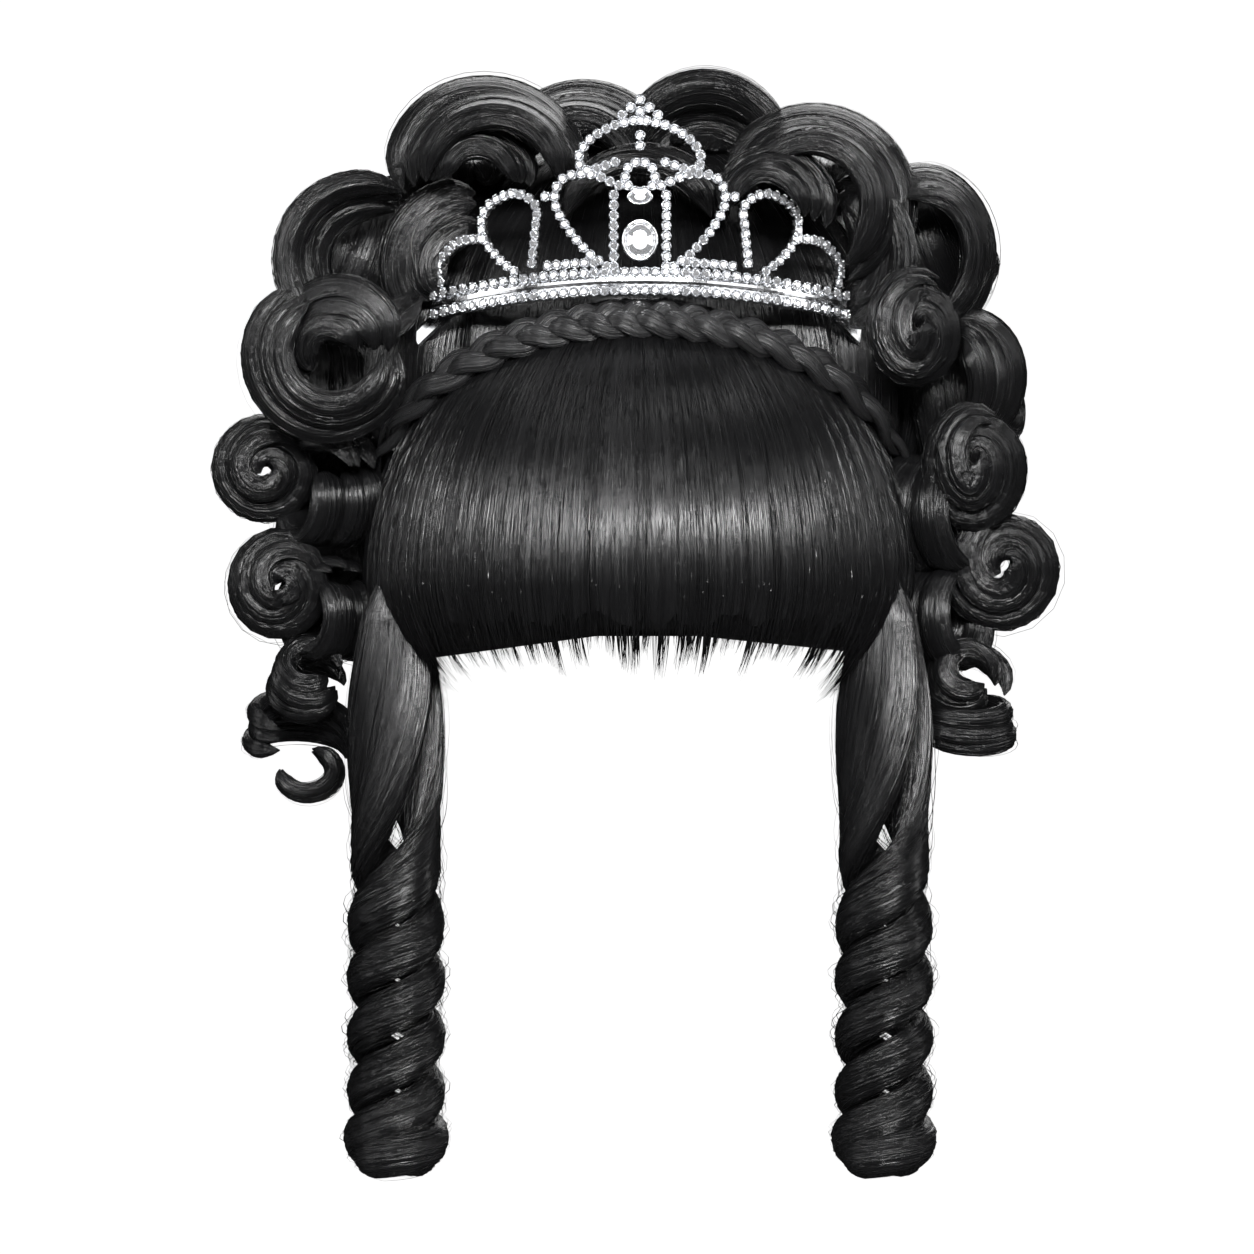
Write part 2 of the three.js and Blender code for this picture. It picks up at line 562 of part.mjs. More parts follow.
function ringlet(side, grow = 0) {
  const stations = Array.from({ length: RINGLET_STEPS + 1 }, (_, i) => ringletStation(i / RINGLET_STEPS));
  const locks = [1 / 4, 3 / 4].map((startingTurn) => {
    const outs = [];
    const path = stations.map(([, turns, fall, reach]) => {
      const angle = 2 * Math.PI * (turns + startingTurn);
      const out = new THREE.Vector3(Math.cos(angle), -Math.sin(angle), 0);
      outs.push(out);
      const sway = RINGLET_LEAN * Math.sin(fall * Math.PI);
      const height = -RINGLET_ROOT_BELOW - RINGLET_LENGTH * fall;
      const axis = new THREE.Vector3(side * RINGLET_ACROSS, -RINGLET_FORWARD - sway, height);
      return axis.addScaledVector(out, RINGLET_RADIUS * reach);
    });
    const out = (share) => outs[Math.round(share * RINGLET_STEPS)];
    const size = (share) => {
      const [, , , , width, thick, roll] = stations[Math.round(share * RINGLET_STEPS)];
      return {
        width: RINGLET_LOCK_WIDTH * width,
        thickness: RINGLET_LOCK_THICKNESS * thick,
        roll: roll * DEGREE,
      };
    };
    return sweptLock(lengthened(stationsAlong(path, out, size, grow), grow), LOCK_SIDES);
  });
  return locks[0].add(locks[1]);
}

// Hair over the cap: the combed front and the pad that the curls are pinned to
function hairBody(grow = 0) {
  const rise = HAIR_ABOVE_CROWN;
  const nape = -NAPE_BELOW_CROWN - grow;
  const combed = dome(HAIR_HALF_WIDTH, HAIR_HALF_DEPTH, rise, -HAIR_WIDEST_BELOW, nape, grow);
  const ball = new THREE.SphereGeometry(1, 20, 12);
  ball.rotateX(Math.PI / 2);
  ball.scale(PAD_HALF_WIDTH + grow, PAD_HALF_DEPTH + grow, PAD_HALF_HEIGHT + grow);
  ball.translate(0, PAD_SETBACK, -PAD_DROP);
  const reach = 4 * HAIR_HALF_DEPTH;
  const ahead = block(reach, reach, reach, 0, -reach / 2, 0);
  const slanted = ahead.rotate([Math.atan(1 / PLAIT_SLOPE) / DEGREE, 0, 0]);
  const shift = grow * Math.hypot(1, 1 / PLAIT_SLOPE);
  const face = slanted.translate([0, -PLAIT_SETBACK - shift, 0]);
  const frontOnly = block(reach, reach, reach, 0, -reach / 2 - FRINGE_SIDE_EDGE - grow, 0);
  const below = block(reach, reach, reach, 0, 0, nape - reach / 2);
  const whole = combed.add(toSolid(ball));
  return whole.subtract(face.intersect(frontOnly)).subtract(below).subtract(capOuter(CLEARANCE));
}

// Tiara: a curved upright of arches on a flat band. Arch tables: points from foot to foot, as
// shares of TIARA_HALF_WIDTH across and of TIARA_RISE up; each side arch is mirrored.
const TOP_ARCH = [[-0.254, 0.59], [-0.292, 0.684], [-0.244, 0.772], [-0.139, 0.845], [0, 0.87]];
const SIDE_ARCHES = [
  [[-0.07, 0.53], [-0.244, 0.59], [-0.388, 0.56], [-0.407, 0.466], [-0.359, 0.342], [-0.254, 0.2],
    [-0.148, 0.08]],
  [[-0.517, 0.06], [-0.502, 0.363], [-0.507, 0.466], [-0.608, 0.503], [-0.742, 0.425], [-0.751, 0.285],
    [-0.675, 0.166], [-0.579, 0.05]],
  [[-0.745, 0.29], [-0.89, 0.254], [-0.967, 0.145], [-0.955, 0.031], [-0.93, -0.05]],
  [[-0.407, 0.466], [-0.455, 0.5], [-0.507, 0.466]],
];
const COLUMN_HEIGHTS = [0.53, 0.3, 0.08];
const FINIAL_STONES = [[0, 0.97], [-0.06, 0.92], [0.06, 0.92], [0, 0.9]];
const STEM_HEIGHTS = [0.66, 0.8, 0.95];
const STEM_SHARE = 0.7;

function tiaraPoint(across, up, forward = 0) {
  const x = across * TIARA_HALF_WIDTH;
  const radius = TIARA_CURVE_RADIUS + forward;
  const centre = TIARA_CURVE_RADIUS - TIARA_SETBACK;
  const angle = Math.asin(Math.min(x / TIARA_CURVE_RADIUS, 1));
  const height = TIARA_FOOT + up * TIARA_RISE;
  return new THREE.Vector3(radius * Math.sin(angle), centre - radius * Math.cos(angle), height);
}

function wire(points, steps, radius = STONE_ROW_RADIUS) {
  const curve = new THREE.CatmullRomCurve3(points);
  const path = curve.getPoints(steps);
  const centre = new THREE.Vector3(0, TIARA_CURVE_RADIUS - TIARA_SETBACK, 0);
  const out = (share, at) => new THREE.Vector3(at.x, at.y - centre.y, 0);
  const size = () => ({ width: radius, thickness: radius });
  return sweptLock(stationsAlong(path, out, size), 5);
}

function sagAt(across) {
  return (-TIARA_SAG / TIARA_RISE) * across * across;
}

// Base: two rows of stones on a flat strip, swept as one profile along the foot of the tiara
const BASE_PROFILE = [
  [-0.8, -1], [0.6, -1], [1, -0.72], [0.6, -0.44], [0, -0.3],
  [0, 0.3], [0.6, 0.44], [1, 0.72], [0.6, 1], [-0.8, 1],
];

function tiaraBase(grow = 0) {
  const steps = 12;
  const rings = [];
  for (let i = 0; i <= steps; i++) {
    const across = BASE_REACH * ((2 * i) / steps - 1);
    const middle = tiaraPoint(across, BASE_UP + sagAt(across));
    const out = new THREE.Vector3(middle.x, middle.y - TIARA_CURVE_RADIUS + TIARA_SETBACK, 0).normalize();
    const ring = BASE_PROFILE.map(([forward, up]) => {
      const point = middle.clone().addScaledVector(out, forward * (STONE_ROW_RADIUS + grow));
      point.z += up * (BASE_HEIGHT / 2 + grow);
      return point;
    });
    rings.push(ring);
  }
  return ringSolid(rings);
}

// Flat band: the strip's ends run on down and back into the curls
function band(grow = 0) {
  const points = [];
  const steps = 10;
  for (let i = 0; i <= steps; i++) {
    const across = BAND_REACH * ((2 * i) / steps - 1);
    const end = Math.max(Math.abs(across) - BAND_BENDS_FROM, 0);
    points.push(tiaraPoint(across, sagAt(across) + BAND_UP - BAND_DROP * end));
  }
  const centre = new THREE.Vector3(0, TIARA_CURVE_RADIUS - TIARA_SETBACK, 0);
  const out = (share, at) => new THREE.Vector3(at.x, at.y - centre.y, 0);
  const size = () => ({ width: BAND_HEIGHT / 2, thickness: BAND_THICKNESS / 2 });
  return sweptLock(lengthened(stationsAlong(points, out, size, grow), grow), 4);
}

// Cut stone: a table and a ring of facets towards the viewer, and a pointed back
function gem(halfWidth, halfHeight, depth, facets, at) {
  const profile = [
    new THREE.Vector2(0, -depth * 0.6),
    new THREE.Vector2(0.62, -depth * 0.6),
    new THREE.Vector2(1, 0),
    new THREE.Vector2(0, depth * 0.6),
  ];
  const lathe = new THREE.LatheGeometry(profile, facets);
  lathe.scale(halfWidth, 1, halfHeight);
  lathe.translate(at.x, at.y, at.z);
  return toSolid(lathe);
}

function centreStone(grow = 0) {
  const at = tiaraPoint(0, CENTRE_STONE_UP, SETTING_WALL / 2);
  const depth = STONE_DEPTH + grow * 2;
  return gem(CENTRE_STONE_HALF_WIDTH + grow, CENTRE_STONE_HALF_HEIGHT + grow, depth, 12, at);
}

function lozengeStone(grow = 0) {
  const at = tiaraPoint(0, LOZENGE_UP, SETTING_WALL / 2);
  return gem(LOZENGE_HALF_WIDTH + grow, LOZENGE_HALF_HEIGHT + grow, STONE_DEPTH + grow * 2, 8, at);
}

// Oval ring that a stone or a gap in the tiara is set in
function setting(halfWidth, halfHeight, up, wall = SETTING_WALL) {
  const ring = new THREE.TorusGeometry(1, wall / halfWidth, 5, 12);
  ring.rotateX(Math.PI / 2);
  ring.scale(halfWidth, halfWidth, halfHeight);
  const at = tiaraPoint(0, up);
  ring.translate(at.x, at.y, at.z);
  return toSolid(ring);
}

function tiaraFrame() {
  const mirrored = (points, side) => points.map(([across, up]) => tiaraPoint(-side * across, up));
  const seat = SETTING_WALL / 2;
  const beside = CENTRE_STONE_HALF_WIDTH + seat + SETTING_WALL + STONE_ROW_RADIUS * COLUMN_OVERLAP;
  const column = COLUMN_HEIGHTS.map((up) => [beside / TIARA_HALF_WIDTH, up]);
  const parts = [tiaraBase(), band()];
  for (const side of [-1, 1]) {
    parts.push(wire(mirrored(TOP_ARCH, side), 6));
    for (const arch of SIDE_ARCHES) parts.push(wire(mirrored(arch, side), arch.length));
    parts.push(wire(mirrored(column, side), column.length));
  }
  for (const [across, up] of FINIAL_STONES) {
    parts.push(gem(STONE_ROW_RADIUS, STONE_ROW_RADIUS, STONE_DEPTH, 8, tiaraPoint(across, up)));
  }
  const stem = STEM_HEIGHTS.map((up) => tiaraPoint(0, up));
  parts.push(wire(stem, stem.length - 1, STONE_ROW_RADIUS * STEM_SHARE));
  parts.push(setting(RING_RADIUS, RING_RADIUS, RING_UP, STONE_ROW_RADIUS));
  parts.push(setting(CENTRE_STONE_HALF_WIDTH + seat, CENTRE_STONE_HALF_HEIGHT + seat, CENTRE_STONE_UP));
  parts.push(setting(LOZENGE_HALF_WIDTH + seat, LOZENGE_HALF_HEIGHT + seat, LOZENGE_UP));
  const whole = parts.reduce((all, part) => all.add(part));
  return whole.subtract(centreStone(STONE_GAP)).subtract(lozengeStone(STONE_GAP));
}

// Metal a little larger than the tiara, to keep hair clear of it: shares of its width and height
const ENVELOPE_REACH = 1.02;
const ENVELOPE_HALF_HEIGHT = 0.56;

function tiaraEnvelope() {
  const points = [];
  const steps = 10;
  for (let i = 0; i <= steps; i++) {
    const across = ENVELOPE_REACH * ((2 * i) / steps - 1);
    points.push(tiaraPoint(across, 0.5 + sagAt(across)));
  }
  const centre = new THREE.Vector3(0, TIARA_CURVE_RADIUS - TIARA_SETBACK, 0);
  const out = (share, at) => new THREE.Vector3(at.x, at.y - centre.y, 0);
  const thickness = STONE_ROW_RADIUS + STONE_DEPTH;
  const size = () => ({ width: TIARA_RISE * ENVELOPE_HALF_HEIGHT, thickness });
  return sweptLock(stationsAlong(points, out, size), 4).add(band(CLEARANCE));
}

// Pieces in the order in which they keep their shape: each later one is cut to clear the earlier
const curls = [...chartedCurls(), ...backCurls()];
const plan = [
  { name: "plait", solid: plait, guard: plaitEnvelope },
  { name: "hair_body", solid: hairBody },
  { name: "fringe", solid: fringe },
  { name: "left_ringlet", solid: (grow) => ringlet(-1, grow) },
  { name: "right_ringlet", solid: (grow) => ringlet(1, grow) },
  ...curls.map((curl) => ({ name: curl.name, solid: (grow) => curlSolid(curl, grow) })),
];

const group = new THREE.Group();

function addPiece(name, solid, colour, metalness, roughness) {
  const material = new THREE.MeshStandardMaterial({ color: colour, metalness, roughness });
  const mesh = new THREE.Mesh(toGeometry(solid), material);
  mesh.name = name;
  group.add(mesh);
}

function apart(a, b) {
  const [one, two] = [a.boundingBox(), b.boundingBox()];
  return [0, 1, 2].some((k) => one.max[k] < two.min[k] || two.max[k] < one.min[k]);
}

addPiece("tiara", largestBody(tiaraFrame()), METAL_COLOUR, 1, 0.2);
addPiece("centre_stone", centreStone(), STONE_COLOUR, 0, 0.05);
addPiece("lozenge_stone", lozengeStone(), STONE_COLOUR, 0, 0.05);
addPiece("wig_cap", largestBody(cap()), HAIR_COLOUR, 0, 0.8);

const guards = [tiaraEnvelope(), capOuter(CLEARANCE)];
for (const { name, solid, guard = solid } of plan) {
  let shape = solid(0);
  for (const other of guards) if (!apart(shape, other)) shape = shape.subtract(other);
  addPiece(name, largestBody(shape), HAIR_COLOUR, 0, 0.45);
  guards.push(guard(CLEARANCE));
}

export default group;
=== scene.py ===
# %% [markdown]
# A princess costume wig.
# The real wig is glossy black fibre: a thick fringe under a plait, a high pile of pinned curls,
# two long ringlets and a tiara set with small glass stones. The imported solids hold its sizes.
# Here each solid lock is replaced by a finer one: a grooved body and many loose strands on it.

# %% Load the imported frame
import math
import bpy
import numpy as np
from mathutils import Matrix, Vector


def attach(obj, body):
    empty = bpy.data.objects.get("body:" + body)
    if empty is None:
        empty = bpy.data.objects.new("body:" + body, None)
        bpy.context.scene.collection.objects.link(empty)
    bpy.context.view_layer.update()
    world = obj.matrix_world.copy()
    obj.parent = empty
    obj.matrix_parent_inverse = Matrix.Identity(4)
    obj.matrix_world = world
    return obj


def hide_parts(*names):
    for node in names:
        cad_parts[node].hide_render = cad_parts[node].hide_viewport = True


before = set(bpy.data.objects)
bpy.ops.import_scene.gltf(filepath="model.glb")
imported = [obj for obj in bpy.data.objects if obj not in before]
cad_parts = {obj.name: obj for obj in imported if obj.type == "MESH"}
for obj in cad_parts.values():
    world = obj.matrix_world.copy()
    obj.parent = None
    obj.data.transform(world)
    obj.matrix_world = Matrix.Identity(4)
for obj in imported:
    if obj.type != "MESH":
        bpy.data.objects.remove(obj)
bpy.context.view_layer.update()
MM = 0.001
DEGREE = math.pi / 180

# %% [markdown]
# The camera stands level with the wig and far off, so that front and back keep one scale.
# The frame of the photograph is 1254 pixels wide, and a pixel is a third of a millimetre.

# %% Camera
PHOTO_PIXELS = 1254
PIXEL = 0.335 * MM
CROWN_PIXEL = (640, 320)
CAMERA_DISTANCE = 4.0
SENSOR_WIDTH = 36
FOCUS_DEPTH = -50 * MM


def place_camera():
    span = PHOTO_PIXELS * PIXEL
    middle_x = (PHOTO_PIXELS / 2 - CROWN_PIXEL[0]) * PIXEL
    middle_z = (CROWN_PIXEL[1] - PHOTO_PIXELS / 2) * PIXEL
    data = bpy.data.cameras.new("camera")
    data.sensor_width = SENSOR_WIDTH
    data.lens = SENSOR_WIDTH * CAMERA_DISTANCE / span
    data.clip_end = 100
    camera = bpy.data.objects.new("camera", data)
    camera.location = (middle_x, FOCUS_DEPTH - CAMERA_DISTANCE, middle_z)
    camera.rotation_euler = (math.pi / 2, 0, 0)
    bpy.context.scene.collection.objects.link(camera)
    bpy.context.scene.camera = camera
    return camera


camera = place_camera()
print("The lens is", round(camera.data.lens), "mm")

# %% [markdown]
# Black fibre shows only what it mirrors. A broad soft box in front and above draws the bright
# band across the fringe, and two tall ones at the sides draw the curls' edges. The room stays dim.

# %% Lights
WIG_MIDDLE = Vector((0, 0, -60 * MM))


def soft_box(name, place, width, height, power):
    data = bpy.data.lights.new(name, "AREA")
    data.shape = "RECTANGLE"
    data.size = width
    data.size_y = height
    data.energy = power
    lamp = bpy.data.objects.new(name, data)
    lamp.location = place
    lamp.rotation_euler = (WIG_MIDDLE - lamp.location).to_track_quat("-Z", "Y").to_euler()
    bpy.context.scene.collection.objects.link(lamp)
    return lamp


soft_box("front_box", Vector((0.1, -1.9, 0.76)), 1.35, 0.27, 72)
soft_box("left_box", Vector((-1.9, -0.5, 0.7)), 0.4, 1.0, 12)
soft_box("right_box", Vector((1.9, -0.5, 0.8)), 0.4, 1.0, 12)
soft_box("top_box", Vector((0, -0.5, 2.0)), 1.2, 0.4, 6)
soft_box("back_box", Vector((0.2, 1.9, 1.1)), 1.6, 0.8, 16)

world = bpy.data.worlds.new("studio")
world.use_nodes = True
world.node_tree.nodes["Background"].inputs["Color"].default_value = (1, 1, 1, 1)
world.node_tree.nodes["Background"].inputs["Strength"].default_value = 0.02
bpy.context.scene.world = world
bpy.context.scene.view_settings.view_transform = "Standard"

# %% [markdown]
# A material is a tree of nodes. A small class wraps a socket, so that sums on values are written
# as plain expressions, and one method makes every other node from its type and settings.

# %% Shader expressions


class Value:
    """A socket of a finish. Sums on it add Math nodes to the same tree."""

    def __init__(self, finish, socket):
        self.finish = finish
        self.socket = socket

    def math(self, operation, first, second=None):
        node = self.finish.tree.nodes.new("ShaderNodeMath")
        node.operation = operation
        self.finish.feed(node.inputs[0], first)
        if second is not None:
            self.finish.feed(node.inputs[1], second)
        return Value(self.finish, node.outputs[0])

    def __add__(self, other):
        return self.math("ADD", self, other)

    def __sub__(self, other):
        return self.math("SUBTRACT", self, other)

    def __rsub__(self, other):
        return self.math("SUBTRACT", other, self)

    def __mul__(self, other):
        return self.math("MULTIPLY", self, other)

    __radd__ = __add__
    __rmul__ = __mul__


class Finish:
    """A material with one Principled shader."""

    def __init__(self, name, **constants):
        self.material = bpy.data.materials.new(name)
        self.material.use_nodes = True
        self.tree = self.material.node_tree
        self.shader = self.tree.nodes["Principled BSDF"]
        self.set(**constants)

    def feed(self, socket, value):
        if isinstance(value, Value):
            self.tree.links.new(value.socket, socket)
        else:
            socket.default_value = value

    def set(self, **values):
        for name, value in values.items():
            self.feed(self.shader.inputs[name.replace("_", " ")], value)

    def node(self, kind, settings=None, output=0, **values):
        node = self.tree.nodes.new("ShaderNode" + kind)
        for name, setting in (settings or {}).items():
            setattr(node, name, setting)
        for name, value in values.items():
            self.feed(node.inputs[name.replace("_", " ")], value)
        return Value(self, node.outputs[output])

    def stretched(self, source, across, along):
        node = self.tree.nodes.new("ShaderNodeVectorMath")
        node.operation = "MULTIPLY"
        self.feed(node.inputs[0], source)
        node.inputs[1].default_value = (across, along, 1)
        return Value(self, node.outputs[0])

    def blended(self, share, dark, light):
        node = self.tree.nodes.new("ShaderNodeMix")
        node.data_type = "RGBA"
        self.feed(node.inputs["Factor"], share)
        node.inputs[6].default_value = dark
        node.inputs[7].default_value = light
        return Value(self, node.outputs[2])


# %% [markdown]
# The fibre is near black and glossy. Its coordinates are millimetres across and along the lock,
# so noise that is squeezed across and drawn out along it gives fine streaks that follow the hair.

# %% Hair finish
HAIR_DARK = (0.002, 0.002, 0.0022, 1)
HAIR_LIGHT = (0.009, 0.009, 0.0095, 1)


def hair_finish(name, gloss=0.23, relief=0.75, light=HAIR_LIGHT):
    hair = Finish(name, Metallic=0)
    where = hair.node("UVMap")
    fine = hair.node("TexNoise", {"noise_dimensions": "2D"}, Vector=hair.stretched(where, 1.6, 0.02),
                     Scale=1.0, Detail=4.0)
    coarse = hair.node("TexNoise", {"noise_dimensions": "2D"}, Vector=hair.stretched(where, 0.3, 0.01),
                       Scale=1.0, Detail=2.0)
    hair.set(Base_Color=hair.blended(fine * 0.6 + coarse * 0.4, HAIR_DARK, light))
    hair.set(Roughness=fine * 0.24 + (gloss - 0.12))
    height = fine * 0.55 + coarse * 0.45
    hair.set(Normal=hair.node("Bump", None, Strength=relief, Distance=0.0016, Height=height))
    return hair.material


hair_material = hair_finish("black_hair")
# The plait is the same black fibre, but its pale streak colour is about three times lighter than the rest: a painted
# sheen, so that the plait shows lighter than the same hair elsewhere.
plait_painted_sheen_material = hair_finish("plait_fibre_painted_sheen", gloss=0.3, relief=0.6, light=(0.03, 0.03, 0.031, 1))

# %% [markdown]
# The cap under the hair is a matt black net. Two crossed waves raise its threads.

# %% Cap finish
def cap_finish():
    net = Finish("cap_net", Metallic=0, Roughness=0.85)
    where = net.node("TexCoord", output=3)
    warp = net.node("TexWave", {"bands_direction": "X"}, Vector=where, Scale=260.0)
    weft = net.node("TexWave", {"bands_direction": "Z"}, Vector=where, Scale=260.0)
    thread = warp * 0.5 + weft * 0.5
    net.set(Base_Color=net.blended(thread, (0.004, 0.004, 0.004, 1), (0.03, 0.03, 0.031, 1)))
    net.set(Normal=net.node("Bump", None, Strength=0.8, Distance=0.0006, Height=thread))
    return net.material


# %% [markdown]
# The tiara is bright plated metal with faint cloudy wear, and its stones are clear cut glass.
# The stones' colour has light and dark patches a few millimetres across: painted glints, so that
# some stones show bright and others dark.

# %% Metal and glass finishes
def metal_finish():
    metal = Finish("polished_metal", Metallic=1.0)
    where = metal.node("TexCoord", output=3)
    cloud = metal.node("TexNoise", None, Vector=where, Scale=180.0, Detail=3.0)
    metal.set(Base_Color=metal.blended(cloud, (0.62, 0.63, 0.65, 1), (0.93, 0.94, 0.96, 1)))
    metal.set(Roughness=cloud * 0.16 + 0.06)
    metal.set(Normal=metal.node("Bump", None, Strength=0.25, Distance=0.0002, Height=cloud))
    return metal.material


def stone_painted_glints_finish():
    glass = Finish("cut_stone", Metallic=0.8, IOR=1.7)
    where = glass.node("TexCoord", output=3)
    cloud = glass.node("TexNoise", None, Vector=where, Scale=420.0, Detail=2.0)
    # The light and dark patches of this noise in the stones' colour are painted glints.
    glass.set(Base_Color=glass.blended(cloud, (0.45, 0.46, 0.48, 1), (0.95, 0.96, 0.98, 1)))
    glass.set(Roughness=cloud * 0.04 + 0.02)
    glass.shader.inputs["Coat Weight"].default_value = 1.0
    glass.shader.inputs["Coat Roughness"].default_value = 0.02
    return glass.material


metal_material = metal_finish()
stone_painted_glints_material = stone_painted_glints_finish()

# %% [markdown]
# Every piece of hair is many small faces, so the meshes are filled from arrays at once.
# A piece collects grids and strands, with their hair coordinates, and then makes one object.

# %% Piece of mesh


STRAND_TILT = 0.5
STRAND_FLATNESS = 0.45


class Piece:
    """Collects points, faces and hair coordinates, then makes one object of them."""

    def __init__(self, name):
        self.name = name
        self.points = []
        self.faces = []
        self.coords = []
        self.count = 0

    def add(self, points, faces, coords):
        self.points.append(points.reshape(-1, 3))
        self.faces.append(faces + self.count)
        self.coords.append(coords.reshape(-1, 2))
        self.count += points.size // 3

    def grid(self, rings, across, along, closed=True):
        """Faces between rings of points. The ends of a closed one are shut with fans."""
        rows, sides = rings.shape[:2]
        columns = sides if closed else sides - 1
        i, k = np.meshgrid(np.arange(rows - 1), np.arange(columns), indexing="ij")
        turn = (k + 1) % sides
        quads = np.stack([i * sides + k, i * sides + turn, (i + 1) * sides + turn, (i + 1) * sides + k], -1)
        step = across / columns
        corners = rings.reshape(-1, 3)[quads.reshape(-1, 4)]
        inward = np.einsum("ij,ij->i", corners[:, 0], np.cross(corners[:, 1], corners[:, 2])).sum() < 0
        places = [(k, i), (k + 1, i), (k + 1, i + 1), (k, i + 1)]
        coords = np.stack([np.stack([a * step, along[b]], -1) for a, b in places], -2)
        if inward:
            quads, coords = quads[..., ::-1], coords[..., ::-1, :]
        self.add(rings, quads.reshape(-1, 4), coords)
        if closed:
            self.shut(rings[0], not inward)
            self.shut(rings[-1], inward)

    def shut(self, ring, turned_back):
        sides = len(ring)
        fan = np.vstack([ring, ring.mean(axis=0)])
        k = np.arange(sides)
        turn = (k + 1) % sides
        middle = np.full(sides, sides)
        corners = [turn, k, middle] if turned_back else [k, turn, middle]
        self.add(fan, np.stack(corners, -1), np.zeros((sides * 3, 2)))

    def strands(self, paths, outs, radii, chance):
        """Flat three-sided strands along many paths at once, each tilted a little about its run."""
        count, steps = paths.shape[:2]
        run = np.gradient(paths, axis=1)
        run /= np.linalg.norm(run, axis=-1, keepdims=True) + 1e-12
        side = np.cross(run, outs)
        side /= np.linalg.norm(side, axis=-1, keepdims=True) + 1e-12
        rise = np.cross(side, run)
        offsets = chance.uniform(0, 400, count)
        tilt = chance.normal(0, STRAND_TILT, (count, 1, 1))
        side, rise = side * np.cos(tilt) + rise * np.sin(tilt), rise * np.cos(tilt) - side * np.sin(tilt)
        corners = []
        for angle in (90, 210, 330):
            offset = math.cos(angle * DEGREE) * side + STRAND_FLATNESS * math.sin(angle * DEGREE) * rise
            corners.append(paths + offset * radii[..., None])
        tube = np.stack(corners, 2)
        s, i, k = np.meshgrid(np.arange(count), np.arange(steps - 1), np.arange(3), indexing="ij")
        turn = (k + 1) % 3
        base = s * steps * 3 + i * 3
        quads = np.stack([base + k, base + 3 + k, base + 3 + turn, base + turn], -1)
        length = np.linalg.norm(np.diff(paths, axis=1), axis=-1).cumsum(axis=1) / MM
        length = np.hstack([np.zeros((count, 1)), length])
        shares = [(0, 0), (0, 1), (1, 1), (1, 0)]
        coords = [np.stack([offsets[s] + (k + a) * 0.35, length[s, i + b]], -1) for a, b in shares]
        self.add(tube, quads.reshape(-1, 4), np.stack(coords, -2))
        first = np.arange(count)[:, None] * steps * 3
        last = first + (steps - 1) * 3
        ends = np.vstack([first + [0, 1, 2], last + [2, 1, 0]]) - count * steps * 3
        self.faces.append(ends + self.count)
        self.coords.append(np.zeros((ends.size, 2)))

    def make(self, material, nodes, smooth=True):
        """Fills the mesh and hands the object over: it rides on the root and stands for its nodes."""
        mesh = bpy.data.meshes.new(self.name)
        points = np.concatenate(self.points).astype(np.float32)
        mesh.vertices.add(len(points))
        mesh.vertices.foreach_set("co", points.ravel())
        totals = np.concatenate([np.full(len(f), f.shape[1]) for f in self.faces])
        corners = np.concatenate([f.ravel() for f in self.faces]).astype(np.int32)
        mesh.loops.add(len(corners))
        mesh.loops.foreach_set("vertex_index", corners)
        mesh.polygons.add(len(totals))
        starts = np.concatenate([[0], np.cumsum(totals)[:-1]]).astype(np.int32)
        mesh.polygons.foreach_set("loop_start", starts)
        mesh.polygons.foreach_set("use_smooth", np.full(len(totals), smooth))
        layer = mesh.uv_layers.new(name="hair")
        layer.data.foreach_set("uv", np.concatenate(self.coords).astype(np.float32).ravel())
        mesh.update(calc_edges=True)
        mesh.validate()
        mesh.materials.append(material)
        piece = bpy.data.objects.new(self.name, mesh)
        bpy.context.scene.collection.objects.link(piece)
        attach(piece, "root")
        if nodes:
            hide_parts(*nodes)
        triangles = int((totals - 2).sum())
        tally[self.name] = triangles
        return piece


tally = {}

# %% [markdown]
# A lock is a bundle of fibres that run side by side. Its body is an oval swept along a path,
# with grooves that keep their place round the oval and drift slowly along the lock. Loose strands
# lie on it, and a few stand off. All numbers drawn at random come from a seed of the lock's name.

# %% Lock of hair
def seeded(name):
    return np.random.default_rng(sum(ord(letter) * (k + 1) for k, letter in enumerate(name)))


SPLIT_SPREAD = 0.75
SPLIT_WIDTH = 1.3
SPLIT_WANDER = 0.13
SPLIT_RISE = 0.28


def unit(vectors):
    return vectors / (np.linalg.norm(vectors, axis=-1, keepdims=True) + 1e-12)


class Lock:
    """A path with an oval section, given by its half axes across and through it."""

    def __init__(self, path, wide, thick):
        self.share = np.linspace(0, 1, len(path))
        self.path = path
        self.wide = wide
        self.thick = thick
        self.length = np.linalg.norm(np.diff(path, axis=0), axis=-1).sum()

    def at(self, share, angle, reach):
        """Points on the lock, for arrays of shares along it, angles round it and reach outwards."""
        def along(field):
            return np.stack([np.interp(share, self.share, field[:, c]) for c in range(3)], -1)
        spoke = along(self.wide) * np.cos(angle)[..., None] + along(self.thick) * np.sin(angle)[..., None]
        return along(self.path) + spoke * reach[..., None], unit(spoke)

    def split(self, chance, parts):
        """The thinner locks that it is combed into: side by side, each wandering a little."""
        if parts == 1:
            return [self]
        thinner = []
        for number in range(parts):
            place = SPLIT_SPREAD * (2 * (number + 0.5) / parts - 1)
            wander = SPLIT_WANDER * np.sin(chance.uniform(2, 5) * self.share + chance.uniform(0, 6))
            rise = SPLIT_RISE * np.sin(chance.uniform(2, 5) * self.share + chance.uniform(0, 6))
            path = self.path + self.wide * (place + wander)[:, None] + self.thick * rise[:, None]
            thick = self.thick * chance.uniform(0.7, 0.95)
            thinner.append(Lock(path, self.wide * (SPLIT_WIDTH / parts), thick))
        return thinner


